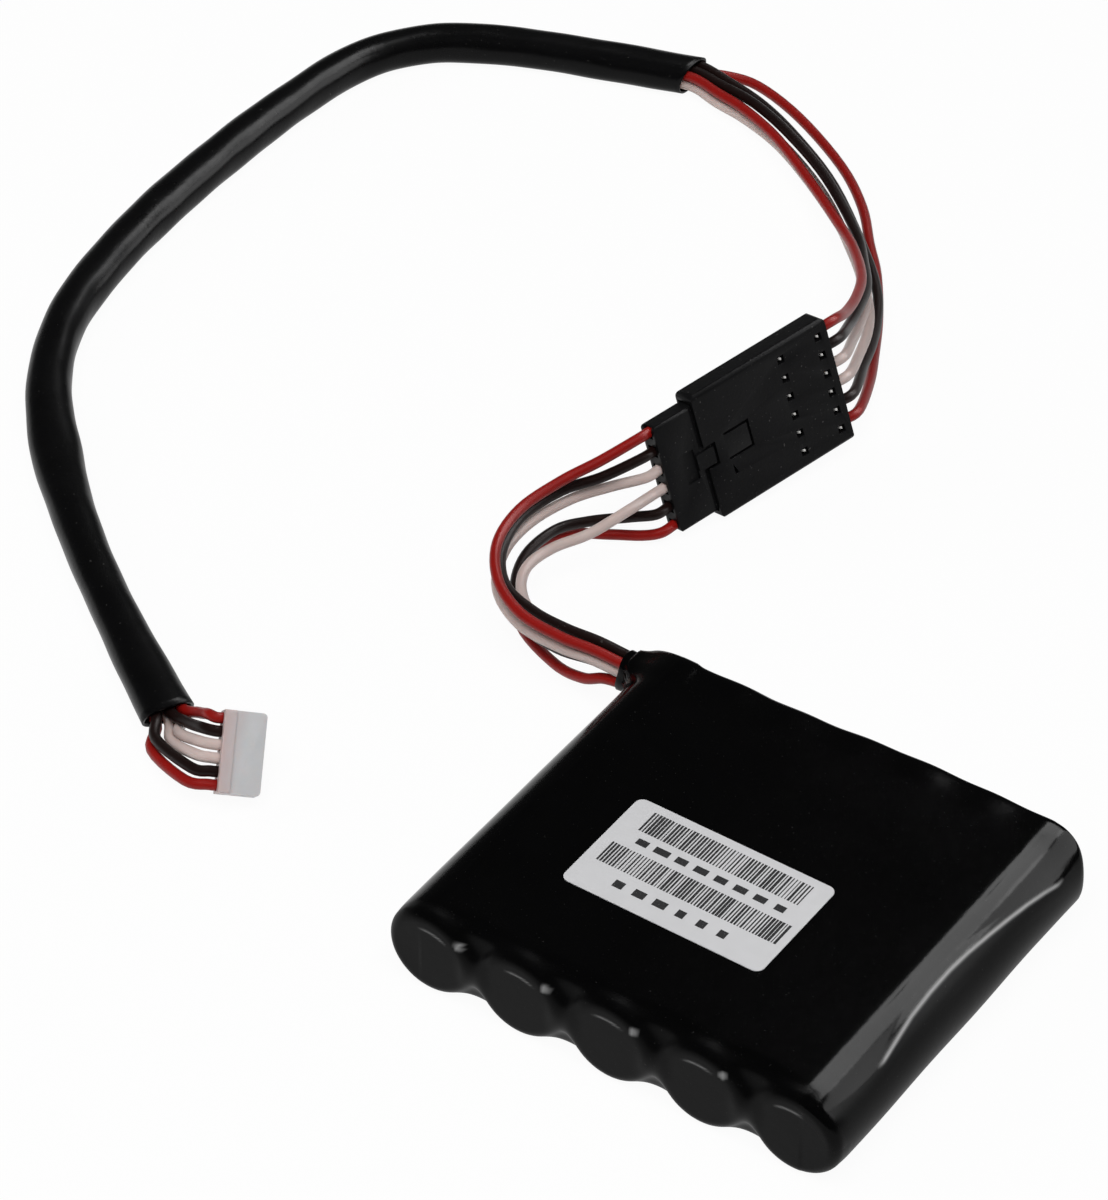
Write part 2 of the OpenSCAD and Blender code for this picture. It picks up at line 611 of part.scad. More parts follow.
// ---------------------------------------------------------------- inline connector

module across_rows(z) { // one copy of a form for each of the six rows
    for (k = [0:N_WIRES - 1]) translate([mid_x, 0, z[k]]) children();
}
case_rows = [for (k = [0:N_WIRES - 1]) row_z(k)];

module case_body() {
    along_y(0, case_len) round_rect([-case_t, 0], [0, case_w],
        [for (i = [0:3]) case_round]);
}
module harness_housing() {
    mid_z = case_w / 2;
    notch = block_w + 2 * latch_play;
    color(GREY) turned(case_at, case_turn) difference() {
        intersection() {
            case_body();
            along_x(-case_t, 0) round_rect([0, 0], [case_len, case_w], CASE_CORNERS);
        }
        // pocket for the pack housing's nose
        block([mid_x - pocket_t / 2, -1, pocket_side],
            [mid_x + pocket_t / 2, pocket_depth, case_w - pocket_side]);
        across_rows(case_rows) {
            // cavity of one terminal, and its two windows
            block([-cavity / 2, pocket_depth - 1, -cavity / 2],
                [cavity / 2, case_len + 1, cavity / 2]);
            for (y = [window_at, case_len - window_back])
                block([0, y - window / 2, -window / 2], [case_t, y + window / 2, window / 2]);
        }
        // notch for the latch block
        block([mid_x, -1, mid_z - notch / 2], [1, block_len / 2 + latch_play, mid_z + notch / 2]);
        // small triangular slot
        along_x(mid_x, 1) translate(wedge_at)
            polygon([[0, 0], [wedge_size.x, 0], [0, wedge_size.y]]);
        // slots that free the latch tongue
        block([mid_x, latch_at, mid_z + latch_w / 2],
            [1, latch_at + latch_len, mid_z + latch_w / 2 + latch_slot]);
        block([mid_x, latch_at + latch_len - latch_slot, mid_z - latch_w / 2],
            [1, latch_at + latch_len, mid_z + latch_w / 2]);
        block([mid_x, latch_at, mid_z - latch_w / 2 - latch_slot],
            [1, latch_at + latch_len, mid_z - latch_w / 2]);
    }
}
module pack_housing() {
    mid_z = case_w / 2;
    lo = mid_z - nose_w / 2;
    hi = mid_z + nose_w / 2;
    color(GREY) turned(case_at, case_turn) difference() {
        union() {
            along_y(-cap_gap - eps, nose_len) round_rect([mid_x - nose_t / 2, lo],
                [mid_x + nose_t / 2, hi], [for (i = [0:3]) nose_round]);
            intersection() {
                along_y(cap_back, -cap_gap) round_rect([mid_x - cap_t / 2, lo],
                    [mid_x + cap_t / 2, hi], [for (i = [0:3]) cap_round]);
                along_x(-case_t, 1) round_rect([cap_back, lo], [1, hi], CAP_CORNERS);
            }
            // latch block that snaps into the other housing's notch
            along_x(mid_x, 0) round_rect([-block_len / 2, mid_z - block_w / 2],
                [block_len / 2, mid_z + block_w / 2], [for (i = [0:3]) nose_round]);
        }
        across_rows(case_rows) block([-cavity / 2, cap_back - 1, -cavity / 2],
            [cavity / 2, nose_len + 1, cavity / 2]);
        // recess behind the latch block
        block([mid_x + nose_t / 2 - recess[2], -cap_gap - recess[0],
            mid_z - block_w / 2 - recess[1]],
            [1, -block_len / 2, mid_z + block_w / 2 + recess[1]]);
    }
}
// Female terminal: box with a square bore, neck and crimped barrel
module pack_terminals() {
    wire_end = cap_back + wire_grip;
    box_y = nose_len - box_back - box_len;
    bore = pin_side / 2 + pin_fit;
    color(TIN) turned(case_at, case_turn) across_rows(case_rows) {
        difference() {
            block([-box_side / 2, box_y, -box_side / 2],
                [box_side / 2, box_y + box_len, box_side / 2]);
            block([-bore, box_y + box_floor, -bore], [bore, box_y + box_len + 1, bore]);
        }
        block([-box_side / 2, wire_end + barrel_len - eps, -neck_half],
            [sheet_t - box_side / 2, box_y + eps, neck_half]);
        translate([0, wire_end, 0]) rotate([-90, 0, 0]) cylinder(d = box_side, h = barrel_len);
    }
}
// Male terminal: square pin, box, neck and crimped barrel
module harness_terminals() {
    wire_end = case_len - wire_grip;
    box_y = pocket_depth + box_back;
    box_end = box_y + male_box * box_len;
    barrel_y = wire_end - barrel_len;
    color(TIN) turned(case_at, case_turn) across_rows(case_rows) {
        block([-pin_side / 2, pocket_depth - pin_reach + pin_tip, -pin_side / 2],
            [pin_side / 2, box_y + eps, pin_side / 2]);
        chamfered_tip(pocket_depth - pin_reach);
        block([-box_side / 2, box_y, -box_side / 2], [box_side / 2, box_end, box_side / 2]);
        block([-box_side / 2, box_end - eps, -neck_half],
            [sheet_t - box_side / 2, barrel_y + eps, neck_half]);
        translate([0, barrel_y, 0]) rotate([-90, 0, 0]) cylinder(d = box_side, h = barrel_len);
    }
}
module chamfered_tip(y) {
    h = pin_side / 2;
    translate([0, 0, -h]) linear_extrude(pin_side)
        polygon([[-h, y + pin_tip + eps], [-h / 2, y], [h / 2, y], [h, y + pin_tip + eps]]);
}

// ---------------------------------------------------------------- white plug

plug_rows = [for (k = [0:N_WIRES - 1]) plug_z(k)];
module plug_across() {
    for (z = plug_rows) translate([-plug_t / 2, 0, z]) children();
}
module white_plug() {
    hole = contact_side / 2 + contact_fit;
    color([0.85, 0.84, 0.82]) turned(plug_at, plug_turn) difference() {
        union() {
            intersection() {
                along_y(0, plug_len) round_rect([-plug_t, 0], [0, plug_w],
                    [for (i = [0:3]) plug_round / 2]);
                along_x(-plug_t, 0) round_rect([0, 0], [plug_len, plug_w],
                    [plug_round / 2, plug_round, plug_round, plug_round / 2]);
                linear_extrude(plug_w) polygon([[-plug_t, 0], [0, 0], [-plug_taper, plug_len],
                    [plug_taper - plug_t, plug_len]]);
            }
            along_y(0, plug_rim_len) round_rect([-plug_t - plug_rim, 0], [plug_rim, plug_w],
                [for (i = [0:3]) plug_round / 2]);
        }
        plug_across() {
            translate([0, -1, 0]) rotate([-90, 0, 0]) cylinder(d = plug_entry, h = 1 + entry_depth);
            block([-hole, entry_depth - eps, -hole], [hole, plug_len + 1, hole]);
        }
    }
}
module plug_contacts() {
    bore = contact_side / 2 - contact_wall;
    color(TIN) turned(plug_at, plug_turn) plug_across() difference() {
        block([-contact_side / 2, entry_depth, -contact_side / 2],
            [contact_side / 2, plug_len - contact_back, contact_side / 2]);
        block([-bore, entry_depth + contact_floor, -bore], [bore, plug_len + 1, bore]);
    }
}

// ---------------------------------------------------------------- leads and tubing

module pack_wire(k) { color(WIRE_COLORS[k]) tube(pack_path(k), wire_d, wire_d, WIRE_SIDES); }
module harness_wire(k) { color(WIRE_COLORS[k]) tube(harness_path(k), wire_d, wire_d, WIRE_SIDES); }
module harness_tube() {
    color(BLACK) hollow_tube(tube_line, tube_w, tube_h, tube_wall, TUBE_SIDES);
}

shrink_wrap();
label();
cell(0);  // cell_1
cell(1);  // cell_2
cell(2);  // cell_3
cell(3);  // cell_4
cell(4);  // cell_5
cell_sleeves();
front_discs();
end_seals();
cell_pins();
circuit_board();
balance_resistors();
thermistor();
solder_joints();
pack_wire(0);  // pack_wire_1
pack_wire(1);  // pack_wire_2
pack_wire(2);  // pack_wire_3
pack_wire(3);  // pack_wire_4
pack_wire(4);  // pack_wire_5
pack_wire(5);  // pack_wire_6
pack_housing();
pack_terminals();
harness_housing();
harness_terminals();
harness_wire(0);  // harness_wire_1
harness_wire(1);  // harness_wire_2
harness_wire(2);  // harness_wire_3
harness_wire(3);  // harness_wire_4
harness_wire(4);  // harness_wire_5
harness_wire(5);  // harness_wire_6
harness_tube();
white_plug();
plug_contacts();
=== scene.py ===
"""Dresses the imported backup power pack: film, label, leads, connectors, sleeve and studio."""

import bmesh
import bpy
import logging
import math
from dataclasses import dataclass, field
from enum import Enum

import numpy as np
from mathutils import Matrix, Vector


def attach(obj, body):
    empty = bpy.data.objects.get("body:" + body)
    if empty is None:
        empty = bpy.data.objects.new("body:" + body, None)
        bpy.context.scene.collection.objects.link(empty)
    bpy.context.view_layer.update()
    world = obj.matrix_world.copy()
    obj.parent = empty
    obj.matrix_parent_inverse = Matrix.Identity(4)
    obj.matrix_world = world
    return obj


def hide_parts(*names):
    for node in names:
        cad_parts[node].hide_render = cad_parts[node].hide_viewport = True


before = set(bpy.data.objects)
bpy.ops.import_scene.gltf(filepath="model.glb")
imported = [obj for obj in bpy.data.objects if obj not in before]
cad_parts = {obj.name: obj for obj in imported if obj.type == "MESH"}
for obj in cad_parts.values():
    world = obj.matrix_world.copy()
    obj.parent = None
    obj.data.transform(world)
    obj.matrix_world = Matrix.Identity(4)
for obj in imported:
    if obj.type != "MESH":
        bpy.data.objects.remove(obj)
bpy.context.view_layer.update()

LOG = logging.getLogger("backup_pack")
MM = 0.001
BODY = "root"
Array = np.ndarray
Node = bpy.types.Node
Piece = bpy.types.Object
Point = tuple[float, float, float]
Socket = bpy.types.NodeSocket
Tree = bpy.types.NodeTree


# ------------------------------------------------------------------ sizes shared with the CAD

CELL_COUNT = 5
CELL_PITCH = 11.54
HALF_ROW = 23.08
PACK_R = 5.66
PACK_TOP = 2 * PACK_R
FRONT_Y = -25.41
BACK_Y = 25.41
WIRE_D = 1.3
WIRE_STEP = 1.45
LEAD_Y = 24.16
NECK_Y = 23.485
NECK_Z = 6.56
NECK_END = -30.74
NECK_OUT = 2.0
LEAD_COUNT = 6
TABLE_GAP = 0.02

# angles in degrees: joined under the first, bevelled from the second, sharp from the third
FLAT_UNDER = 1.5
BEVEL_FROM = 32
SHARP_FROM = 28

COAT_ROUGHNESS = 0.1
SCATTER = (1.0, 0.6, 0.45)


class LeadColour(Enum):
    """Insulation colours, in the order of the connector's rows from the top down."""

    RED = "red_wire"
    BLACK = "black_wire"
    WHITE = "white_wire"


LEAD_ORDER = (LeadColour.RED, LeadColour.BLACK, LeadColour.WHITE,
              LeadColour.WHITE, LeadColour.BLACK, LeadColour.RED)


# ------------------------------------------------------------------ node trees

def new_tree(kind: str, name: str, inputs: dict[str, object],
             output: tuple[str, str]) -> tuple[Tree, bpy.types.bpy_prop_collection]:
    """Makes a node tree with named inputs and one output.

    Args:
        kind: "Shader" or "Geometry".
        name: Name of the tree.
        inputs: Input name to its default, or to its socket's kind where it has no default.
        output: Name and kind of the output.

    Returns:
        The tree, and the sockets of its input node by name.
    """
    tree = bpy.data.node_groups.new(name, f"{kind}NodeTree")
    kinds = {float: "Float", int: "Int", tuple: "Color"}
    for label, value in inputs.items():
        socket = tree.interface.new_socket(
            label, in_out="INPUT", socket_type="NodeSocket" + kinds.get(type(value), str(value)))
        if not isinstance(value, str):
            socket.default_value = value
    tree.interface.new_socket(output[0], in_out="OUTPUT", socket_type="NodeSocket" + output[1])
    return tree, tree.nodes.new("NodeGroupInput").outputs


def add_node(tree: Tree, kind: str, inputs: dict | None = None, **settings: object) -> Node:
    """Adds a node.

    Args:
        tree: Tree that gets it.
        kind: Type of the node.
        inputs: Input name or number to its value, or to the socket that feeds it.
        settings: The node's own properties, set before its inputs.

    Returns:
        The node.
    """
    node = tree.nodes.new(kind)
    for key, value in settings.items():
        setattr(node, key, value)
    for key, value in (inputs or {}).items():
        if isinstance(value, Socket):
            tree.links.new(value, node.inputs[key])
        else:
            node.inputs[key].default_value = value
    return node


def calc(tree: Tree, kind: str, a: object, b: object, clamp: bool = False) -> Socket:
    """Adds a Math node on two numbers or sockets and returns its output."""
    return add_node(tree, "ShaderNodeMath", {0: a, 1: b}, operation=kind,
                    use_clamp=clamp).outputs[0]


def noise(tree: Tree, vector: Socket, scale: object, detail: float) -> Socket:
    """Adds a Noise Texture node and returns its value socket, about 0.5 on average."""
    return add_node(tree, "ShaderNodeTexNoise", {
        "Vector": vector, "Scale": scale, "Detail": detail}).outputs["Fac"]


def mix_colour(tree: Tree, part: Socket, a: object, b: object) -> Socket:
    """Mixes colour a with colour b by a part from 0 to 1 and returns the result."""
    return add_node(tree, "ShaderNodeMix", {"Factor": part, "A": a, "B": b},
                    data_type="RGBA").outputs["Result"]


def tone_group() -> Tree:
    """Builds the group that varies a colour softly over a surface.

    Returns:
        The group.
    """
    tree, given = new_tree("Shader", "Soft tone", {
        "Vector": "Vector", "Color": (0.5, 0.5, 0.5, 1), "Scale": 200.0, "Amount": 0.2},
        ("Color", "Color"))
    patch = noise(tree, given["Vector"], given["Scale"], 4.0)
    swing = calc(tree, "MULTIPLY", calc(tree, "SUBTRACT", patch, 0.5), given["Amount"])
    gain = calc(tree, "ADD", calc(tree, "MULTIPLY", swing, 2.0), 1.0)
    scaled = add_node(tree, "ShaderNodeVectorMath", {0: given["Color"], "Scale": gain},
                      operation="SCALE")
    add_node(tree, "NodeGroupOutput", {"Color": scaled.outputs[0]})
    return tree


def dust_group(edge: float = 12.0) -> Tree:
    """Builds the group that strews fine pale specks.

    Args:
        edge: Steepness of the specks' edges.

    Returns:
        The group.
    """
    tree, given = new_tree("Shader", "Fine dust", {
        "Vector": "Vector", "Color": (0.0, 0.0, 0.0, 1), "Dust": (0.4, 0.4, 0.4, 1),
        "Scale": 2500.0, "Amount": 0.2, "Level": 0.68}, ("Color", "Color"))
    speck = noise(tree, given["Vector"], given["Scale"], 2.0)
    mask = calc(tree, "MULTIPLY", calc(tree, "SUBTRACT", speck, given["Level"]), edge, True)
    part = calc(tree, "MULTIPLY", mask, given["Amount"], True)
    add_node(tree, "NodeGroupOutput", {
        "Color": mix_colour(tree, part, given["Color"], given["Dust"])})
    return tree


def smudge_group(finer: float = 9.0) -> Tree:
    """Builds the group that varies roughness by smudges and finer rubs.

    Args:
        finer: Times by which the rubs are finer than the smudges.

    Returns:
        The group.
    """
    tree, given = new_tree("Shader", "Smudges", {
        "Vector": "Vector", "Roughness": 0.3, "Scale": 80.0, "Amount": 0.1},
        ("Roughness", "Float"))
    broad = noise(tree, given["Vector"], given["Scale"], 3.0)
    fine = noise(tree, given["Vector"], calc(tree, "MULTIPLY", given["Scale"], finer), 3.0)
    both = calc(tree, "ADD", calc(tree, "SUBTRACT", broad, 0.5),
                calc(tree, "MULTIPLY", calc(tree, "SUBTRACT", fine, 0.5), 0.5))
    swing = calc(tree, "MULTIPLY", calc(tree, "MULTIPLY", both, given["Amount"]), 2.0)
    add_node(tree, "NodeGroupOutput", {
        "Roughness": calc(tree, "ADD", given["Roughness"], swing, True)})
    return tree


def grain_group() -> Tree:
    """Builds the group for a moulded or drawn surface's fine relief.

    Returns:
        The group.
    """
    tree, given = new_tree("Shader", "Fine relief", {
        "Vector": "Vector", "Scale": 3000.0, "Waves": 150.0, "Wave Part": 0.3},
        ("Height", "Float"))
    fine = noise(tree, given["Vector"], given["Scale"], 3.0)
    broad = noise(tree, given["Vector"], given["Waves"], 2.0)
    add_node(tree, "NodeGroupOutput", {
        "Height": calc(tree, "ADD", fine, calc(tree, "MULTIPLY", broad, given["Wave Part"]))})
    return tree


GROUPS = {"tone": tone_group(), "dust": dust_group(), "smudge": smudge_group(),
          "grain": grain_group()}


# ------------------------------------------------------------------ finishes

@dataclass(frozen=True)
class Finish:
    """One finish with its own colour, gloss, relief, smudges and dust."""

    name: str
    colour: Point
    roughness: float
    metallic: float = 0.0
    specular: float = 0.5
    coat: float = 0.0
    subsurface: float = 0.0
    subsurface_mm: float = 0.3
    tone_scale: float = 220.0
    tone: float = 0.15
    smudge_scale: float = 90.0
    smudge: float = 0.06
    grain_scale: float = 2500.0
    waves: float = 160.0
    wave_part: float = 0.3
    relief_mm: float = 0.01
    dust: float = 0.1
    dust_scale: float = 2200.0
    dust_level: float = 0.7
    dust_colour: Point = (0.35, 0.34, 0.33)
    stretch: Point = (1.0, 1.0, 1.0)

    def build(self) -> bpy.types.Material:
        """Builds the material from node groups and a Principled shader.

        Returns:
            The material.
        """
        material = bpy.data.materials.new(self.name)
        material.use_nodes = True
        material.diffuse_color = (*self.colour, 1)
        tree = material.node_tree
        tree.nodes.clear()
        vector = add_node(tree, "ShaderNodeMapping", {
            "Vector": add_node(tree, "ShaderNodeTexCoord").outputs["Object"],
            "Scale": self.stretch}).outputs["Vector"]
        tone = self._group(tree, "tone", vector, {
            "Color": (*self.colour, 1), "Scale": self.tone_scale, "Amount": self.tone})
        dusty = self._group(tree, "dust", vector, {
            "Color": self._tinted(tree, tone), "Dust": (*self.dust_colour, 1),
            "Scale": self.dust_scale, "Amount": self.dust, "Level": self.dust_level})
        smudged = self._group(tree, "smudge", vector, {
            "Roughness": self.roughness, "Scale": self.smudge_scale, "Amount": self.smudge})
        grain = self._group(tree, "grain", vector, {
            "Scale": self.grain_scale, "Waves": self.waves, "Wave Part": self.wave_part})
        bump = add_node(tree, "ShaderNodeBump", {
            "Strength": 1.0, "Distance": self.relief_mm * MM, "Height": grain})
        values = {"Base Color": dusty, "Roughness": self._rubbed(tree, smudged),
                  "Normal": bump.outputs["Normal"], "Metallic": self.metallic,
                  "Specular IOR Level": self.specular, "Coat Weight": self.coat,
                  "Coat Roughness": COAT_ROUGHNESS}
        if self.subsurface:
            values |= {"Subsurface Weight": self.subsurface,
                       "Subsurface Scale": self.subsurface_mm * MM,
                       "Subsurface Radius": SCATTER}
        shader = add_node(tree, "ShaderNodeBsdfPrincipled", values)
        add_node(tree, "ShaderNodeOutputMaterial", {"Surface": shader.outputs["BSDF"]})
        return material

    def _group(self, tree: Tree, key: str, vector: Socket, values: dict[str, object]) -> Socket:
        """Places one of the shared groups with its own values and returns its output."""
        return add_node(tree, "ShaderNodeGroup", {"Vector": vector, **values},
                        node_tree=GROUPS[key]).outputs[0]

    def _tinted(self, tree: Tree, colour: Socket) -> Socket:
        """Returns the colour unchanged; a finish with special zones changes it there."""
        return colour

    def _rubbed(self, tree: Tree, rough: Socket) -> Socket:
        """Returns the roughness unchanged; a finish with special zones changes it there."""
        return rough


@dataclass(frozen=True)
class ZonedFinish(Finish):
    """A finish that differs where the mesh's attributes "zone", "fold" or "dull" are 1; where
    "fold" is 1 a pale colour is painted on as highlight.
    """

    zone_colour: Point = (0.1, 0.1, 0.1)
    zone_roughness: float = 0.5
    dull_roughness: float = 0.38
    # pale colour painted on as highlight where the "fold" attribute is 1
    fold_colour: Point = (0.4, 0.4, 0.4)

    def _mark(self, tree: Tree, name: str) -> Socket:
        """Returns the socket of one of the mesh's attributes."""
        return add_node(tree, "ShaderNodeAttribute", attribute_name=name).outputs["Fac"]

    def _tinted(self, tree: Tree, colour: Socket) -> Socket:
        """Returns the colour mixed towards the zone's colour and then towards a pale painted
        highlight colour where "fold" is 1.
        """
        zoned = mix_colour(tree, self._mark(tree, "zone"), colour, (*self.zone_colour, 1))
        # painted highlight: mix towards the pale colour where "fold" is 1
        return mix_colour(tree, self._mark(tree, "fold"), zoned, (*self.fold_colour, 1))

    def _rubbed(self, tree: Tree, rough: Socket) -> Socket:
        """Moves the roughness towards the zone's and then the dull film's.

        Args:
            tree: Material tree.
            rough: Roughness so far.

        Returns:
            The roughness in the end.
        """
        for name, goal in (("zone", self.zone_roughness), ("dull", self.dull_roughness)):
            step = calc(tree, "MULTIPLY", calc(tree, "SUBTRACT", goal, rough),
                        self._mark(tree, name))
            rough = calc(tree, "ADD", rough, step, True)
        return rough


def insulation(name: str, colour: Point, roughness: float = 0.42, **values: object) -> Finish:
    """Describes a lead's insulation by its colour and what differs from the other leads."""
    return Finish(name, colour, roughness, tone_scale=500, smudge=0.1, grain_scale=2600,
                  relief_mm=0.01, **values)


FINISHES: dict[str, Finish] = {
    "black_film": ZonedFinish(
        "Glossy black shrink film", (0.0014, 0.0014, 0.0015), 0.14, specular=0.07, tone=0.25,
        smudge=0.05, smudge_scale=70, grain_scale=900, waves=240, wave_part=1.2,
        relief_mm=0.012, dust=0.05, dust_scale=3000, zone_colour=(0.0022, 0.0022, 0.0023),
        zone_roughness=0.42),
    "label_paper": Finish(
        "Satin paper label", (0.62, 0.62, 0.632), 0.5, specular=0.35, tone=0.05, tone_scale=500,
        smudge=0.06, grain_scale=4000, relief_mm=0.004, dust=0.05, dust_colour=(0.4, 0.4, 0.4)),
    "label_ink": Finish(
        "Black thermal print", (0.012, 0.012, 0.013), 0.55, specular=0.2, tone=0.3,
        tone_scale=2500, grain_scale=5000, relief_mm=0.003, dust=0.12, dust_scale=5000,
        dust_level=0.62, dust_colour=(0.45, 0.45, 0.46)),
    "cell_can": Finish(
        "Drawn aluminium can", (0.62, 0.63, 0.64), 0.3, metallic=1.0, tone=0.06, smudge=0.1,
        grain_scale=1500, relief_mm=0.004, dust=0.05, stretch=(1, 0.1, 1)),
    "cell_sleeve": Finish(
        "Thin green sleeve", (0.04, 0.14, 0.07), 0.3, coat=0.3, tone=0.12, relief_mm=0.006),
    "fibre_card": Finish(
        "Grey fibre card", (0.3, 0.29, 0.27), 0.8, tone=0.3, tone_scale=1200, grain_scale=1500,
        relief_mm=0.03, dust=0.4, dust_level=0.6),
    "seal_rubber": Finish(
        "Moulded rubber seal", (0.02, 0.02, 0.021), 0.6, tone=0.2, relief_mm=0.02, dust=0.2),
    "board_green": Finish(
        "Green solder mask", (0.02, 0.13, 0.05), 0.28, coat=0.4, tone=0.15, relief_mm=0.01),
    "chip_black": Finish(
        "Chip body", (0.03, 0.03, 0.035), 0.5, tone=0.2, relief_mm=0.012, dust=0.15),
    "solder": Finish(
        "Bright solder", (0.7, 0.71, 0.72), 0.22, metallic=1.0, tone=0.12, smudge=0.15,
        relief_mm=0.02, waves=900, wave_part=1.0),
    "black_housing": Finish(
        "Black moulded housing", (0.005, 0.005, 0.0054), 0.4, specular=0.07, tone=0.3,
        tone_scale=350, smudge=0.09, grain_scale=2600, waves=500, wave_part=0.4,
        relief_mm=0.022, dust=0.16, dust_scale=2600, dust_level=0.69),
    "tin_plate": Finish(
        "Tin plated terminal", (0.66, 0.65, 0.63), 0.27, metallic=1.0, tone=0.15, smudge=0.15,
        grain_scale=2200, relief_mm=0.008, dust=0.1, stretch=(1, 0.2, 1)),
    "black_tubing": Finish(
        "Soft black vinyl tubing", (0.0026, 0.0026, 0.0028), 0.3, specular=0.1, tone=0.3,
        smudge=0.1, smudge_scale=60, grain_scale=1400, waves=230, wave_part=1.2,
        relief_mm=0.018, dust=0.1, dust_scale=2400, dust_level=0.7),
    "white_nylon": ZonedFinish(
        "Natural nylon moulding", (0.6, 0.6, 0.61), 0.4, specular=0.3, subsurface=0.35,
        subsurface_mm=0.5, tone=0.06, tone_scale=600, smudge=0.08, grain_scale=2400,
        relief_mm=0.012, dust=0.08, dust_colour=(0.35, 0.33, 0.33),
        zone_colour=(0.55, 0.44, 0.43), zone_roughness=0.45),
    "red_wire": insulation(
        "Red insulation", (0.26, 0.007, 0.005), 0.4, specular=0.25, tone=0.14, dust=0.05,
        dust_colour=(0.45, 0.2, 0.18)),
    "black_wire": insulation(
        "Black insulation", (0.009, 0.004, 0.0035), specular=0.2, tone=0.25, dust=0.14),
    "white_wire": insulation(
        "White insulation", (0.58, 0.47, 0.44), specular=0.3, subsurface=0.2, tone=0.08,
        dust=0.12, dust_colour=(0.3, 0.22, 0.2)),
}
MATERIALS: dict[str, bpy.types.Material] = {key: f.build() for key, f in FINISHES.items()}


# ------------------------------------------------------------------ shared mesh work

def link_new(name: str, data: bpy.types.ID) -> Piece:
    """Makes and links an object.

    Args:
        name: Name of the object.
        data: Its mesh, curve, lamp or camera.

    Returns:
        The object.
    """
    thing = bpy.data.objects.new(name, data)
    bpy.context.collection.objects.link(thing)
    return thing


def make_object(name: str, points: Array, faces: list, slot: str, smooth: bool = True) -> Piece:
    """Makes a mesh piece.

    Args:
        name: Name of the piece.
        points: Its vertices, in millimetres.
        faces: Its faces, as vertex numbers.
        slot: Name of its finish.
        smooth: Whether it is shaded smooth.

    Returns:
        The linked object.
    """
    mesh = bpy.data.meshes.new(name)
    mesh.from_pydata([tuple(p) for p in np.asarray(points) * MM], [], faces)
    mesh.materials.append(MATERIALS[slot])
    mesh.polygons.foreach_set("use_smooth", [smooth] * len(faces))
    mesh.update()
    return link_new(name, mesh)


def band(rings: int, sides: int, base: int = 0, inner: bool = False) -> list:
    """Faces of a tube of rings.

    Args:
        rings: Number of rings.
        sides: Points in each ring.
        base: Number of the first ring's first point.
        inner: Whether the faces look into the tube.

    Returns:
        The faces, as vertex numbers.
    """
    faces = []
    for j in range(rings - 1):
        for k in range(sides):
            a, b = base + j * sides + k, base + j * sides + (k + 1) % sides
            faces.append((a, b, b + sides, a + sides) if inner
                         else (a, a + sides, b + sides, b))
    return faces


def set_mark(piece: Piece, name: str, values: Array) -> None:
    """Stores a named attribute of a piece, one value for each vertex."""
    layer = piece.data.attributes.new(name, "FLOAT", "POINT")
    layer.data.foreach_set("value", np.asarray(values, dtype=np.float32))


def face_out(mesh: bpy.types.Mesh, near: float = 0.002, flat: float = 0.0) -> None:
    """Merges a mesh's doubled points and turns its faces outwards.

    Args:
        mesh: Mesh that changes.
        near: Distance at which points are one, in millimetres.
        flat: Angle in degrees up to which faces are joined, or 0 for none.
    """
    work = bmesh.new()
    work.from_mesh(mesh)
    bmesh.ops.remove_doubles(work, verts=work.verts, dist=near * MM)
    if flat:
        bmesh.ops.dissolve_limit(work, angle_limit=math.radians(flat), verts=work.verts,
                                 edges=work.edges)
    bmesh.ops.recalc_face_normals(work, faces=work.faces)
    work.to_mesh(mesh)
    work.free()


def make_plain(piece: Piece) -> Piece:
    """Turns a piece with live modifiers into a plain mesh piece of the same name.

    Args:
        piece: Object whose evaluated mesh is wanted.

    Returns:
        A new object that carries only the result.
    """
    graph = bpy.context.evaluated_depsgraph_get()
    graph.update()
    mesh = bpy.data.meshes.new_from_object(piece.evaluated_get(graph))
    mesh.name = name = piece.name
    bpy.data.objects.remove(piece)
    return link_new(name, mesh)


def grow(piece: Piece, tree: Tree, slot: str, values: dict[str, object]) -> Piece:
    """Runs a Geometry Nodes tree on a piece.

    Args:
        piece: Object that the tree starts from.
        tree: The tree.
        slot: Finish of the result.
        values: Input name to its value.

    Returns:
        The result as a plain mesh piece.
    """
    grown = piece.modifiers.new(tree.name, "NODES")
    grown.node_group = tree
    sockets = {s.name: s.identifier for s in tree.interface.items_tree if s.in_out == "INPUT"}
    for label, value in {**values, "Finish": MATERIALS[slot]}.items():
        grown[sockets[label]] = value
    return make_plain(piece)


def end_shape(tree: Tree, shape: Socket, finish: Socket) -> Tree:
    """Ends a Geometry Nodes tree in real, painted geometry.

    Args:
        tree: Tree that ends.
        shape: Geometry so far.
        finish: The tree's material input.

    Returns:
        The same tree.
    """
    real = add_node(tree, "GeometryNodeRealizeInstances", {"Geometry": shape})
    paint = add_node(tree, "GeometryNodeSetMaterial", {
        "Geometry": real.outputs["Geometry"], "Material": finish})
    add_node(tree, "NodeGroupOutput", {"Geometry": paint.outputs["Geometry"]})
    return tree


def dress(piece: Piece, slot: str, *nodes: str) -> Piece:
    """Ties a finished piece to the body and hides the CAD nodes that it stands for.

    Args:
        piece: Finished piece.
        slot: Not used.
        nodes: CAD nodes that it replaces.

    Returns:
        The same piece.
    """
    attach(piece, BODY)
    if nodes:
        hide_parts(*nodes)
    LOG.info("%s: %d faces", piece.name, len(piece.data.polygons))
    return piece


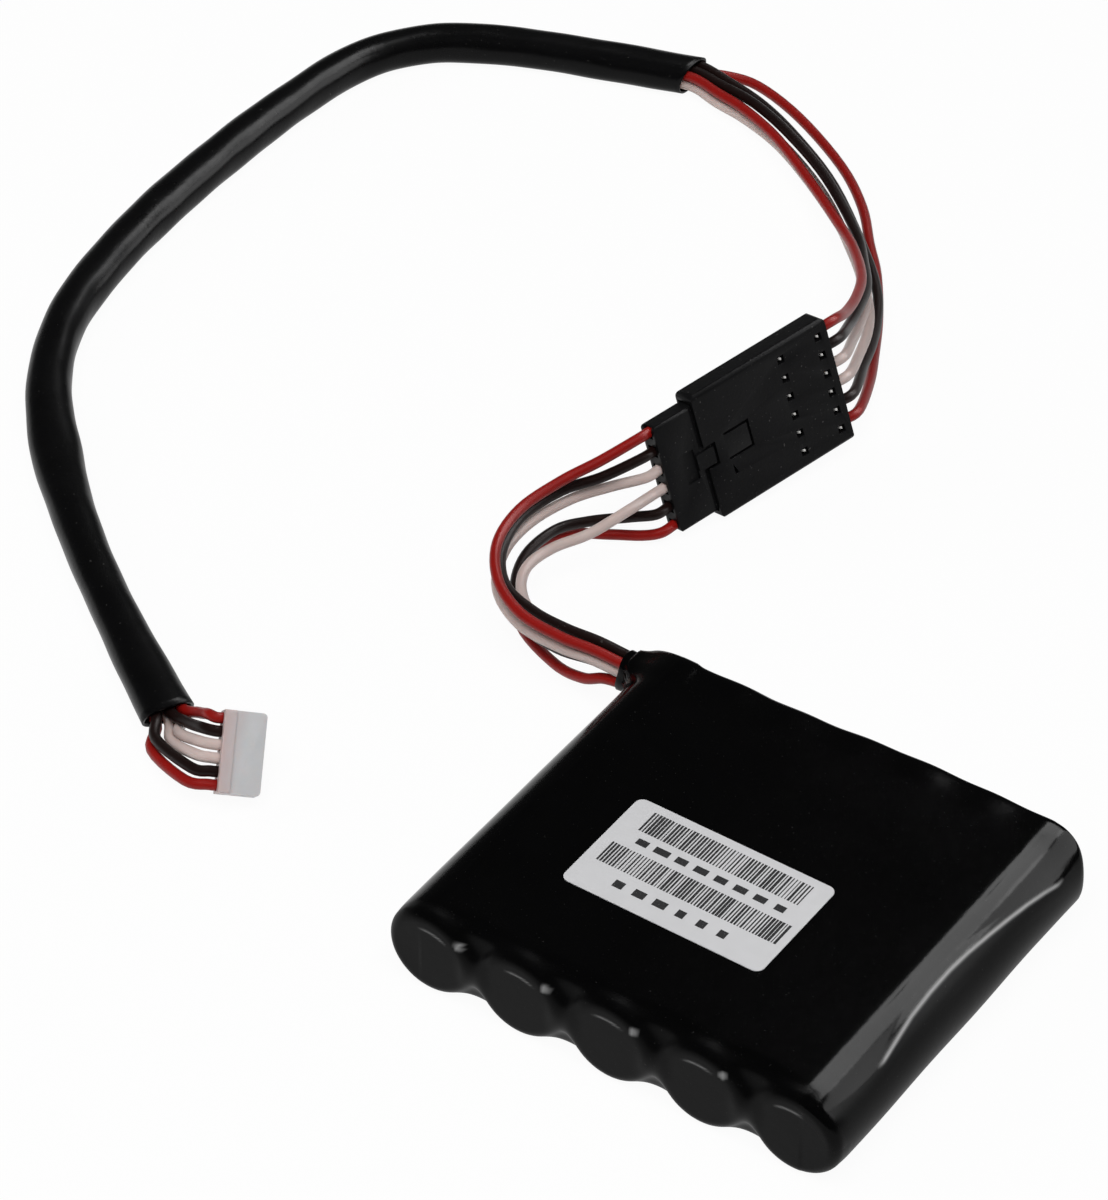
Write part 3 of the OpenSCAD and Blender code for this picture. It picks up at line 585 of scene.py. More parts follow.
def catmull(points: list[Point], steps: int) -> list[Point]:
    """Smooth curve through points.

    Args:
        points: Points that the curve passes.
        steps: Parts that each span is cut into.

    Returns:
        Points along the curve.
    """
    p = np.array(points, dtype=float)
    padded = np.vstack([2 * p[0] - p[1], p, 2 * p[-1] - p[-2]])
    line = []
    for a, b, c, d in zip(padded[:-3], padded[1:-2], padded[2:-1], padded[3:]):
        for t in (j / steps for j in range(steps)):
            line.append(0.5 * (2 * b + (c - a) * t + (2 * a - 5 * b + 4 * c - d) * t * t
                               + (3 * b - a - 3 * c + d) * t * t * t))
    return [tuple(q) for q in (*line, p[-1])]


def in_metres(line: list[Point]) -> list[Point]:
    """Points in millimetres turned into points in metres."""
    return [tuple(c * MM for c in p) for p in line]


def squared(angle: Array, power: float) -> tuple[Array, Array]:
    """Outline of a rounded square of half width 1.

    Args:
        angle: Angles round it.
        power: Squareness, 2 for a circle.

    Returns:
        The two sides of its points.
    """
    c, s = np.cos(angle), np.sin(angle)
    size = (np.abs(c) ** power + np.abs(s) ** power) ** (-1 / power)
    return c * size, s * size


@dataclass(frozen=True)
class Seat:
    """Where a connector lies: its lower mating corner and its three turns in degrees."""

    corner: Point
    heading: float
    rise: float
    lean: float

    def point(self, x: float, y: float, z: float) -> Point:
        """Turns a point of the connector into the row frame.

        Args:
            x: Place across its broad faces, in millimetres.
            y: Place along it.
            z: Place along its row of leads.

        Returns:
            The point, in millimetres.
        """
        lean, rise, head = (math.radians(v) for v in (self.lean, self.rise, self.heading))
        ax = x * math.cos(lean) - z * math.sin(lean)
        az = x * math.sin(lean) + z * math.cos(lean)
        by = y * math.cos(rise) - az * math.sin(rise)
        bz = y * math.sin(rise) + az * math.cos(rise)
        cx = ax * math.cos(head) + by * math.sin(head)
        cy = -ax * math.sin(head) + by * math.cos(head)
        return (self.corner[0] + cx, self.corner[1] + cy, self.corner[2] + bz)


CASE_SEAT = Seat((-39.95, 57.5, 0.78), 16, 5, 17)
PLUG_SEAT = Seat((-58.4, -16.2, 3.45), 51, -12, 46)


# ------------------------------------------------------------------ leads

def sweep_tree() -> Tree:
    """Builds the Geometry Nodes tree that sweeps a round section along a curve.

    Returns:
        The tree.
    """
    tree, given = new_tree("Geometry", "Lead sweep", {
        "Geometry": "Geometry", "Radius": WIRE_D / 2 * MM, "Sides": 16, "Finish": "Material"},
        ("Geometry", "Geometry"))
    ring = add_node(tree, "GeometryNodeCurvePrimitiveCircle", {
        "Radius": given["Radius"], "Resolution": given["Sides"]})
    sweep = add_node(tree, "GeometryNodeCurveToMesh", {
        "Curve": given["Geometry"], "Profile Curve": ring.outputs["Curve"], "Fill Caps": True})
    smooth = add_node(tree, "GeometryNodeSetShadeSmooth", {"Geometry": sweep.outputs["Mesh"]})
    return end_shape(tree, smooth.outputs["Geometry"], given["Finish"])


@dataclass
class Leads:
    """The twelve leads: six from the pack, and six from the inline connector to the plug."""

    sides: int = 16
    pack_steps: int = 6
    harness_steps: int = 5
    pack_routes: tuple = (
        ((-50.4, 46.8, 12), (-53, 42.6, 10.6), (-54.7, 36.8, 9.6), (-53.8, 31, 9),
         (-50.2, 26, 8.7), (-45, 23, 8.4), (-39, 22.3, 8.3), (-34.5, 22.6, 8.3)),
        ((-50, 46.6, 9.9), (-53.2, 43, 8.8), (-54.8, 37, 8.1), (-53.4, 31.2, 7.5),
         (-49.6, 26.8, 7.4), (-44.4, 24.9, 7.5), (-39.5, 24.2, 7.9), (-35, 24.2, 8.2)),
        ((-49.4, 47.8, 8), (-52.5, 44, 7.2), (-54.4, 38.4, 6.6), (-54.3, 33, 5.9),
         (-51.3, 27.4, 5.7), (-45.6, 23.6, 6), (-39.4, 22.6, 6.4), (-35, 22.6, 6.8)),
        ((-46.1, 46.6, 6.8), (-48.3, 41.8, 5.5), (-50.8, 38, 4.8), (-51.6, 34, 4.5),
         (-50, 30.3, 4.5), (-46.4, 27.2, 4.7), (-41, 25.1, 5.4), (-35.5, 24.3, 6.5)),
        ((-47.5, 49, 3.4), (-51.5, 46.3, 2.7), (-54, 42.9, 2.5), (-54.1, 37, 2.7),
         (-51.5, 31.2, 3), (-46.8, 26.4, 3.2), (-41, 24.6, 3.9), (-35.5, 24.3, 5)),
        ((-46, 49.3, 1.1), (-49.4, 47.6, 0.8), (-53.3, 45, 0.75), (-54.9, 40.6, 0.75),
         (-53.4, 34.8, 0.8), (-48.8, 28.4, 0.9), (-41.4, 24.6, 1.4), (-36.4, 23, 2.9),
         (-33.4, 22.8, 4.5)))
    harness_routes: tuple = (
        ((-40.8, 84.8, 13.9), (-42.9, 90.6, 11.6), (-46, 96.8, 9.4), (-51.3, 103.6, 7),
         (-56.8, 108.9, 5.2), (-65.4, 115.9, 3.7), (-74, 121.6, 3.4), (-80.8, 124.6, 3.3),
         (-86, 125.9, 3.2)),
        ((-40.6, 85.1, 11.6), (-42.5, 90.5, 9.9), (-45.2, 96.8, 8.1), (-49.4, 102.9, 6.2),
         (-54.2, 108.8, 5), (-63.8, 117, 4.4), (-72.8, 122.5, 4.1), (-80.3, 126, 3.7),
         (-86.5, 127.5, 3.3)),
        ((-40.3, 85.7, 9.1), (-42.4, 91, 7.6), (-45.2, 96.9, 6), (-49.1, 102.6, 4.5),
         (-54.6, 108.5, 3.1), (-65, 116.6, 2.1), (-74, 122.2, 1.8), (-81, 124.8, 1.7),
         (-86.3, 125.9, 1.6)),
        ((-39.8, 86.6, 6.6), (-42.1, 92.2, 5.2), (-45, 97.4, 3.9), (-49, 102.6, 2.7),
         (-54.4, 108.7, 1.5), (-64, 117.4, 0.9), (-73.2, 123.2, 0.8), (-80.6, 126.3, 0.8),
         (-86.4, 127.4, 1.3)),
        ((-39.5, 87.3, 4.6), (-41.5, 92.4, 3.5), (-44, 97.6, 2.5), (-47.3, 103, 2.3),
         (-52.6, 108.7, 2.4), (-62.9, 117.6, 3), (-72, 123.4, 3), (-79.9, 127.3, 2.9),
         (-86.9, 129, 3.1)),
        ((-38.8, 87.8, 2.2), (-42.1, 94.2, 1), (-45.6, 100.6, 0.75), (-50.2, 107.6, 0.75),
         (-54.4, 112.6, 0.75), (-59.3, 118.6, 0.75), (-66.1, 124.4, 0.75),
         (-76.2, 130.2, 0.75), (-84.4, 133, 0.8), (-89, 132, 1.2)))
    plug_routes: tuple = (
        ((-66.5, -8.8, 5.7), (-64, -10.3, 7.9)), ((-67.4, -10, 4.7), (-63.8, -11.6, 6.9)),
        ((-68.1, -10.6, 3.2), (-63.4, -12.8, 6)), ((-68.6, -11.5, 2.4), (-63.1, -14, 5.1)),
        ((-69.6, -12.9, 3.1), (-62.9, -15.1, 4)), ((-69.9, -13.4, 1.7), (-63, -16.2, 2.9)))
    neck_side: tuple = (-0.5, 0.5, -0.5, 0.5, 0.5, -0.5)
    neck_up: tuple = (1, 1, 0, 0, -1.05, -1.05)
    neck_run: float = 0.4
    turns: tuple = ((-4.1, 0.12, (NECK_Z + PACK_R) / 2), (-2.8, 0.5, PACK_R), (-1.1, 1, PACK_R))
    joint_step: float = 1.6
    tube_side: tuple = (1, 0, 1, 0, -1, -1)
    tube_up: tuple = (0.5, 0.5, -0.5, -0.5, 0.5, -0.5)
    case_mid: float = -1.55
    case_rows: tuple = (2.05, 2.54)
    case_len: float = 20.7
    case_run: float = 2.5
    cap_back: float = -5.8
    cap_run: float = 2.0
    wire_grip: float = 1.2
    plug_mid: float = -1.6
    plug_rows: tuple = (0.9, 1.5)
    plug_run: tuple = (-0.8, 0, 1.0)

    def row_z(self, k: int, rows: tuple | None = None) -> float:
        """Height of row k, counted from the top, above a connector's lower side."""
        low, pitch = rows or self.case_rows
        return low + (LEAD_COUNT - 1 - k) * pitch

    def turning(self, k: int, x: float, part: float, z: float) -> Point:
        """Place of lead k in its turn from the neck's two columns to one row on the board.

        Args:
            k: Number of the lead, from 0.
            x: Place across the pack.
            part: Part of the turn, from 0 to 1.
            z: Height of the leads' middle.

        Returns:
            The place, in millimetres.
        """
        angle = math.radians(90 * part)
        row_up = ((LEAD_COUNT - 1) / 2 - k) * WIRE_STEP
        return (x, NECK_Y + part * (LEAD_Y - NECK_Y)
                + math.cos(angle) * self.neck_side[k] * WIRE_STEP,
                z + math.cos(angle) * self.neck_up[k] * WIRE_STEP + math.sin(angle) * row_up)

    def pack_line(self, k: int) -> list[Point]:
        """Line of pack lead k from its joint on the board to the connector.

        Args:
            k: Number of the lead, from 0.

        Returns:
            Points, in millimetres.
        """
        line = [CASE_SEAT.point(self.case_mid, y, self.row_z(k))
                for y in (self.cap_back + self.wire_grip, self.cap_back,
                          self.cap_back - self.cap_run)]
        line += self.pack_routes[k]
        line += [self.turning(k, x, 0, NECK_Z)
                 for x in (NECK_END, NECK_END + NECK_OUT + self.neck_run)]
        line += [self.turning(k, -HALF_ROW + x, part, z) for x, part, z in self.turns]
        line.append(self.turning(k, -HALF_ROW + (k + 1) * self.joint_step, 1, PACK_R))
        return catmull(line[::-1], self.pack_steps)

    def harness_line(self, k: int, tube: list[Point]) -> list[Point]:
        """Line of harness lead k from the inline connector to the plug.

        Args:
            k: Number of the lead, from 0.
            tube: Middle line of the sleeve.

        Returns:
            Points, in millimetres.
        """
        line = [CASE_SEAT.point(self.case_mid, y, self.row_z(k))
                for y in (self.case_len - self.wire_grip, self.case_len,
                          self.case_len + self.case_run)]
        line += (*self.harness_routes[k], *self.in_tube(k, tube), *self.plug_routes[k])
        line += [PLUG_SEAT.point(self.plug_mid, y, self.row_z(k, self.plug_rows))
                 for y in self.plug_run]
        return catmull(line, self.harness_steps)

    def in_tube(self, k: int, tube: list[Point]) -> list[Point]:
        """Points of lead k beside the sleeve's middle line.

        Args:
            k: Number of the lead, from 0.
            tube: Middle line of the sleeve.

        Returns:
            One point beside each point of the line.
        """
        p = np.array(tube)
        ahead = np.vstack([p[1:], 2 * p[-1] - p[-2]]) - np.vstack([2 * p[0] - p[1], p[:-1]])
        side = np.column_stack([-ahead[:, 1], ahead[:, 0]])
        side /= np.linalg.norm(side, axis=1)[:, None]
        p[:, :2] += side * self.tube_side[k] * WIRE_STEP
        p[:, 2] += self.tube_up[k] * WIRE_STEP
        return [tuple(q) for q in p]

    def build(self, tube: list[Point], connector: list, plug: list) -> None:
        """Builds all twelve leads.

        Args:
            tube: Middle line of the sleeve, in millimetres.
            connector: Pieces of the inline connector. Not used.
            plug: Pieces of the white plug. Not used.
        """
        tree = sweep_tree()
        neck = (NECK_END, NECK_Y, NECK_Z)
        for k in range(LEAD_COUNT):
            case = CASE_SEAT.point(self.case_mid, self.case_len, self.row_z(k))
            for group, line, leaves, end, pieces in (
                    ("pack", self.pack_line(k), neck, "connector", connector),
                    ("harness", self.harness_line(k, tube), case, "plug", plug)):
                curve = bpy.data.curves.new("route", "CURVE")
                curve.dimensions = "3D"
                spline = curve.splines.new("POLY")
                spline.points.add(len(line) - 1)
                path = in_metres(line)
                for point, place in zip(spline.points, path):
                    point.co = (*place, 1)
                slot = LEAD_ORDER[k].value
                piece = grow(link_new(f"{group}_lead_{k + 1}", curve), tree, slot, {
                    "Radius": WIRE_D / 2 * MM, "Sides": self.sides})
                dress(piece, slot, f"{group}_wire_{k + 1}")


# ------------------------------------------------------------------ sleeve

@dataclass
class Sleeve:
    """The loose vinyl tubing on the harness, pressed flatter and wider along its run."""

    route: tuple = (
        (-91.5, 128.3), (-103, 124.5), (-114.5, 120.2), (-123.5, 114.6), (-128.8, 106),
        (-130.6, 93), (-131, 80), (-130.6, 66.5), (-129, 53), (-125.8, 41), (-119.6, 30.2),
        (-110, 20), (-98.5, 10.2), (-85.4, 0.8), (-71.6, -8.2))
    width: float = 5.8
    height: float = 4.8
    wall: float = 0.3
    sides: int = 48
    steps: int = 16
    path_step: int = 4
    smoothings: int = 6
    squareness: float = 2.35
    widths: tuple = ((0, 0.94), (0.08, 0.92), (0.17, 0.9), (0.25, 0.86), (0.32, 0.89),
                     (0.4, 0.98), (0.5, 0.98), (0.57, 0.92), (0.64, 0.9), (0.7, 1.02),
                     (0.73, 1.08), (0.78, 0.96), (0.84, 0.87), (0.92, 0.92), (1.0, 1.1))
    heights: tuple = ((0, 0.95), (0.15, 1.0), (0.3, 1.0), (0.5, 0.97), (0.66, 0.96),
                      (0.73, 0.88), (0.8, 1.0), (1.0, 0.97))
    ripples: tuple = ((0.012, 61, 2, 0), (0.008, 137, 3, 1))
    mouth: int = 14
    near_cut: tuple = (1.0, -0.4)
    tail_cut: tuple = (-0.2, 1.2)

    def middle(self, steps: int = 2) -> list[Point]:
        """Middle line of the tubing, in millimetres, with each span of it cut into steps."""
        return catmull([(x, y, self.height / 2 + TABLE_GAP) for x, y in self.route], steps)

    def build(self) -> None:
        line = np.array(self.middle(self.steps))
        walls = [self._wall(line, inset) for inset in (0.0, self.wall)]
        n, q = self.sides, len(line) * self.sides
        faces = band(len(line), n) + band(len(line), n, q, True)
        for k in range(n):
            j, e = (k + 1) % n, q - n
            faces.append((k, j, q + j, q + k))
            faces.append((e + k, q + e + k, q + e + j, e + j))
        piece = make_object("harness_sleeve", np.concatenate(walls), faces, "black_tubing")
        face_out(piece.data)
        dress(piece, "black_tubing", "harness_tube")

    def _measure(self, part: Array, table: tuple, size: float) -> Array:
        """Width or height along the run.

        Args:
            part: Part of the run at each ring.
            table: Part of the run, and part of the full size there.
            size: Full size.

        Returns:
            The size at each ring, its steps smoothed.
        """
        values = np.interp(part, *zip(*table)) * size
        for _ in range(self.smoothings):
            values[1:-1] = (values[:-2] + values[1:-1] * 2 + values[2:]) / 4
        return values

    def _wall(self, line: Array, inset: float) -> Array:
        """Points of the tubing's outer or inner wall.

        Args:
            line: Middle line.
            inset: Depth of the wall below the outside.

        Returns:
            Its points, ring after ring.
        """
        run = np.concatenate([[0], np.cumsum(np.linalg.norm(np.diff(line, axis=0), axis=1))])
        part = run / run[-1]
        wide = self._measure(part, self.widths, self.width)
        tall = self._measure(part, self.heights, self.height)
        ahead = np.gradient(line, axis=0)
        ahead /= np.linalg.norm(ahead, axis=1)[:, None]
        side = np.column_stack([-ahead[:, 1], ahead[:, 0], np.zeros(len(line))])
        angle = np.linspace(0, 2 * math.pi, self.sides, endpoint=False)
        across, up = squared(angle, self.squareness)
        ripple = 1 + sum(high * np.sin(part[:, None] * along + turns * angle + start)
                         for high, along, turns, start in self.ripples)
        if inset:
            ripple = np.minimum(ripple, 1.0)
        points = line[:, None] + side[:, None] * (
            (wide / 2 - inset)[:, None] * across * ripple)[..., None]
        points[..., 2] += (tall / 2 - inset)[:, None] * up * ripple
        points[..., 2] -= (self.height / 2 - tall / 2)[:, None]
        ring = np.arange(len(line))
        for cut, rings in ((self.near_cut, ring), (self.tail_cut, ring[::-1])):
            slant = np.clip(1 - rings / self.mouth, 0, 1)[:, None] * (
                np.cos(angle) * cut[0] + np.sin(angle) * cut[1])
            points += ahead[:, None] * slant[..., None]
        points[..., 2] = np.maximum(points[..., 2], TABLE_GAP + inset)
        return points.reshape(-1, 3)


# ------------------------------------------------------------------ film

def bell(x: Array, middle: float, span: float) -> Array:
    """Bell curve that is 1 at its middle."""
    return np.exp(-((x - middle) / span) ** 2)


def ramp(x: Array, start: float, end: float) -> Array:
    """Rises evenly from 0 at the start to 1 at the end, which may lie below the start."""
    return np.clip((x - start) / (end - start), 0, 1)


def wave(x: Array, rate: float, start: object) -> Array:
    """Sine of a place times a rate, from a start."""
    return np.sin(x * rate + start)


def soft_min(a: Array, b: Array, k: float) -> Array:
    """Smaller of two distances, with a fillet of size k between them."""
    h = np.maximum(k - np.abs(a - b), 0) / k
    return np.minimum(a, b) - h * h * k / 4


def soft_max(a: Array, b: Array, k: float) -> Array:
    """Larger of two distances, with a rounding of size k between them."""
    return -soft_min(-a, -b, k)


def corner_distance(qa: Array, qb: Array, r: Array) -> Array:
    """Distance to a rounded corner from the overhangs past its two sides."""
    return np.minimum(np.maximum(qa, qb), 0) + np.hypot(np.maximum(qa, 0), np.maximum(qb, 0)) - r


def box_distance(a: Array, b: Array, half: tuple[float, float], r: Array) -> Array:
    """Distance in a plane to a rectangle about the origin with corner radius r."""
    return corner_distance(np.abs(a) - half[0] + r, np.abs(b) - half[1] + r, r)


@dataclass
class ShrinkFilm:
    """Shrink film over five cells: flat between them, drawn into the gaps at their bare ends."""

    across: int = 176
    along: int = 150
    high: int = 58
    finer_ends: float = 0.11
    outside: tuple = (29.9, 26.4, 6.8)
    core: tuple = (22.6, 20.0, 0.0)
    back_round: tuple = (2.9, 1.3)
    back_span: tuple = (-12, 12)
    slack: float = 0.62
    front_round: tuple = (0.3, 0.4)
    far_corner: float = 3.4
    lead_corner: float = 1.4
    edge_blend: float = 0.6
    can_r: float = 5.51
    can_round: float = 1.2
    can_front: float = FRONT_Y + 0.02
    draw: tuple = (0.3, 3.8)
    draw_power: float = 1.8
    web: float = 3.0
    neck_half: tuple = (1.75, 2.45)
    neck_span: tuple = (NECK_END + 0.6, -24.0)
    neck_round: float = 0.9
    neck_blend: float = 3.2
    crease_y: tuple = (-25, -20, -17, -14.5, -11, -8, -4, 0, 3.5, 7, 10.5, 14, 17, 19.5)
    crease_turn: tuple = (54, 46, 44, 44.4, 50.5, 55, 57.3, 57.5, 55.5, 51.9, 47.8, 42.8, 37, 31)
    crease_rise: float = 9
    crease_fall: float = 20.0
    crease_high: float = 0.13
    crease_tip: float = 0.06
    crease_ends: tuple = ((-18, -12), (23, 17))
    # width in degrees of the painted highlight line along the side's fold
    fold_width: float = 1.9
    fold_edge: float = 1.5
    fold_front: float = 3
    # where the painted highlight along the fold fades in and out along the pack
    fold_ends: tuple = ((-15.6, -14), (20.6, 19))
    pucker_high: float = 0.035
    pucker_y: tuple = (FRONT_Y + 2.6, 2.0)
    pucker_wide: float = 3.4
    pucker_across: tuple = (4.1, 1.2)
    pucker_along: tuple = (1.1, 0.7)
    back_y: tuple = (BACK_Y - 1.4, 2.4)
    waves_high: float = 0.11
    waves_low_z: float = 3
    waves: tuple = ((0.55, 0.8), (0.23, 2.0))
    ripple_high: float = 0.045
    ripple_out: float = 1.0
    ripples: tuple = ((0.33, 0.6), (0.4, 0.02))
    bulge: tuple = (0.3, 12, 13)
    brow_x: float = -0.3
    brow_z: float = -1.6
    brow_r: float = 5.0
    # the next four lines shape the painted highlight arcs on the brows of the ends
    brow_width: float = 0.13
    brow_pale: float = 0.4
    brow_slip: tuple = (0.3, 0.6)
    brow_ends: tuple = (1.9, 0.9)
    # the next five lines place and shape the painted highlight dots above the gaps between the
    # cells
    knot_x: tuple = (3.82, -0.33)
    knot_z: tuple = (3.1, 0.14)
    knot_tall: float = 0.8
    knot_edge: tuple = (0.52, 0.22)
    knot_pale: float = 0.6
    # depth from the front within which the highlight arcs and dots are painted
    pale_depth: float = 2.5
    dip_z: float = 0.4
    disc_edge: float = 0.15
    disc_depth: tuple = (3.4, 2.2)
    dull_depth: tuple = (2.4, 1.6)
    dull_side: tuple = (1.2, 0)
    mouth_sides: int = 72
    mouth_power: float = 3.2
    mouth_slant: tuple = ((0.25, 1), (0.12, 3))
    pleats: int = 9
    pleat_high: tuple = (0.02, 0.012)
    pleat_slip: float = 0.6
    pleat_x: float = -28.5
    pleat_span: float = 5
    mouth_rings: tuple = (
        (-25.0, 2.6, 3.4), (-26.6, 2.3, 3.05), (-27.9, 2.02, 2.75), (-28.9, 1.86, 2.56),
        (-29.7, 1.79, 2.47), (-30.4, 1.78, 2.44), (-30.85, 1.82, 2.48), (-30.95, 1.75, 2.42),
        (-30.88, 1.64, 2.31), (-30.3, 1.58, 2.26), (-29.4, 1.56, 2.24))

    def build(self) -> None:
        """Builds and dresses the film."""
        start, core, faces = self._grid()
        points = np.vstack([self._shrink(start, core), self._mouth()])
        faces += band(len(self.mouth_rings), self.mouth_sides, len(start))
        piece = make_object("film_wrap", points, faces, "black_film")
        # the "fold" mark is painted highlight: a pale line along the side's fold, arcs on the
        # brows, dots above the gaps
        for name, mark in (("zone", np.maximum(self._disc_zone(points), self._under_fold(points))),
                           ("fold", self._pale_marks(points)), ("dull", self._dull(points))):
            set_mark(piece, name, mark)
        face_out(piece.data, 0.001)
        dress(piece, "black_film", "shrink_wrap")

    def _grid(self) -> tuple[Array, Array, list]:
        """Grid on a box round the pack.

        Returns:
            Start points, the core points that they move towards, and the faces.
        """
        u, v, w = (np.linspace(-1, 1, n + 1) for n in (self.across, self.along, self.high))
        u, v = (a + self.finer_ends * np.sin(math.pi * a) for a in (u, v))
        cube, faces, base = [], [], 0
        for axis, sign in ((2, 1), (2, -1), (1, 1), (1, -1), (0, 1), (0, -1)):
            a, b = ((u, v), (u, w), (v, w))[2 - axis]
            sheet = list(np.meshgrid(a, b, indexing="ij"))
            sheet.insert(axis, np.full_like(sheet[0], sign))
            cube.append(np.stack([c.ravel() for c in sheet], axis=1))
            for i in range(len(a) - 1):
                for j in range(len(b) - 1):
                    p = base + i * len(b) + j
                    quad = (p, p + len(b), p + len(b) + 1, p + 1)
                    faces.append(quad if sign * (-1 if axis == 1 else 1) > 0 else quad[::-1])
            base += len(a) * len(b)
        whole, middle = np.concatenate(cube), np.array([0, 0, PACK_R])
        return whole * self.outside + middle, whole * self.core + middle, faces

    def _shrink(self, start: Array, core: Array, pace: float = 0.75, steps: int = 70) -> Array:
        """Moves points towards the core until they meet the film's form.

        Args:
            start: Points outside the form.
            core: The core point of each.
            pace: Part of the distance left that one step goes.
            steps: Number of steps.

        Returns:
            The points on the form.
        """
        ray = core - start
        reach = np.linalg.norm(ray, axis=1)
        ray /= reach[:, None]
        gone = np.zeros(len(start))
        for _ in range(steps):
            gap = self.form(start + ray * gone[:, None])
            gone = np.minimum(gone + np.maximum(gap, 0) * pace, reach)
        return start + ray * gone[:, None]

    def form(self, p: Array) -> Array:
        """Signed distance, about, to the film's outside.

        Args:
            p: Points, in millimetres.

        Returns:
            The distances, in millimetres.
        """
        x, y, z = p.T
        t = ramp(y - FRONT_Y, *self.draw)
        part = (1 - t * t * (3 - 2 * t)) ** self.draw_power
        wrapped = self._body(p) * (1 - part) + self._cans(p) * part
        section = box_distance(y - NECK_Y, z - NECK_Z, self.neck_half, self.neck_round)
        neck = np.maximum(section, np.maximum(self.neck_span[0] - x, x - self.neck_span[1]))
        return soft_min(wrapped, neck, self.neck_blend) - self._relief(p, part)

    def _body(self, p: Array) -> Array:
        """Distance to the row's stretched outline with its rounded corners.

        Args:
            p: Points, in millimetres.

        Returns:
            The distances, in millimetres.
        """
        x, y, z = p.T
        row = np.hypot(np.maximum(np.abs(x) - HALF_ROW, 0), z - PACK_R) - PACK_R
        corner = np.where(y < 0, self.front_round[0],
                          np.where(x > 0, self.far_corner, self.lead_corner))
        plan = box_distance(x, y, (HALF_ROW + PACK_R + self.slack, BACK_Y), corner)
        edge = np.where(y < 0, self.front_round[1],
                        np.interp(x, self.back_span, self.back_round))
        side = box_distance(y, z - PACK_R, (BACK_Y, PACK_R + self.slack), edge)
        return soft_max(soft_max(row, plan, self.edge_blend), side, self.edge_blend)

    def _cans(self, p: Array) -> Array:
        """Distance to the five round ends, joined softly where they nearly meet.

        Args:
            p: Points, in millimetres.

        Returns:
            The distances, in millimetres.
        """
        x, y, z = p.T
        whole = None
        for i in range(CELL_COUNT):
            radius = np.hypot(x - (i * CELL_PITCH - HALF_ROW), z - PACK_R)
            can = corner_distance(radius - (self.can_r - self.can_round),
                                  (self.can_front + self.can_round) - y, self.can_round)
            whole = can if whole is None else soft_min(whole, can, self.web)
        return whole

    def _relief(self, p: Array, part: Array) -> Array:
        """Small rises of the film: puckers between the cells, a side crease, soft waves.

        Args:
            p: Points, in millimetres.
            part: Part by which the film is drawn round the cans.

        Returns:
            The rises, in millimetres.
        """
        x, y, z = p.T
        gap = np.abs((x + HALF_ROW) % CELL_PITCH - CELL_PITCH / 2)
        rate, swing = self.pucker_across
        pucker = self.pucker_high * bell(y, *self.pucker_y) * bell(gap, 0, self.pucker_wide) \
            * ramp(z, PACK_R, PACK_TOP) * wave(gap, rate, swing * np.sin(x)) \
            * wave(y - FRONT_Y, *self.pucker_along)
        below = -self._above_fold(p)
        tent = soft_min(ramp(below, -self.crease_rise, 0), ramp(below, self.crease_fall, 0),
                        self.crease_tip)
        near, far = self.crease_ends
        crease = self.crease_high * tent * (x > HALF_ROW) * ramp(y, *near) * ramp(y, *far)
        back = bell(y, *self.back_y)
        waves = self.waves_high * wave(x, *self.waves[0]) * wave(x, *self.waves[1]) \
            * (z > self.waves_low_z)
        full = self.bulge[0] * bell(x, *self.bulge[1:])
        up, over = self.ripples[1]
        side = self.ripple_high * wave(y, *self.ripples[0]) * wave(z, up, x * over) \
            * (np.abs(x) > HALF_ROW + self.ripple_out)
        return pucker * part + crease + back * (waves + full) + side

    def _above_fold(self, p: Array) -> Array:
        """Degrees round the outer cell by which points lie above the side's fold."""
        return np.degrees(np.arctan2(p[:, 2] - PACK_R, p[:, 0] - HALF_ROW)) \
            - np.interp(p[:, 1], self.crease_y, self.crease_turn)

    def _on_front(self, p: Array) -> tuple[Array, Array, Array]:
        """Returns each point's cell number, and its place across and above that cell's middle."""
        i = np.clip(np.round((p[:, 0] + HALF_ROW) / CELL_PITCH), 0, CELL_COUNT - 1)
        return i, p[:, 0] - (i * CELL_PITCH - HALF_ROW), p[:, 2] - PACK_R

    def _disc_zone(self, p: Array) -> Array:
        """Part by which points lie on the matt film over the cans' ends.

        Args:
            p: Points, in millimetres.

        Returns:
            Numbers from 0 to 1.
        """
        _, x, z = self._on_front(p)
        brow = self.brow_z + np.sqrt(np.maximum(self.brow_r ** 2 - (x - self.brow_x) ** 2, 0))
        under = ramp(z - np.maximum(brow, self.dip_z), self.disc_edge, -self.disc_edge)
        return under * ramp(p[:, 1] - FRONT_Y, *self.disc_depth)

    def _dull(self, p: Array) -> Array:
        """Part, from 0 to 1, by which the film is drawn tight and dull behind the ends."""
        return ramp(p[:, 1] - FRONT_Y, *self.dull_depth) \
            * ramp(p[:, 0] - HALF_ROW, *self.dull_side)

    def _under_fold(self, p: Array) -> Array:
        """Part, from 0 to 1, by which points lie on the dull film under the side's fold."""
        return ramp(self._above_fold(p), self.fold_edge, -self.fold_edge) \
            * (p[:, 0] > HALF_ROW) * ramp(p[:, 1] - FRONT_Y, 0, self.fold_front)

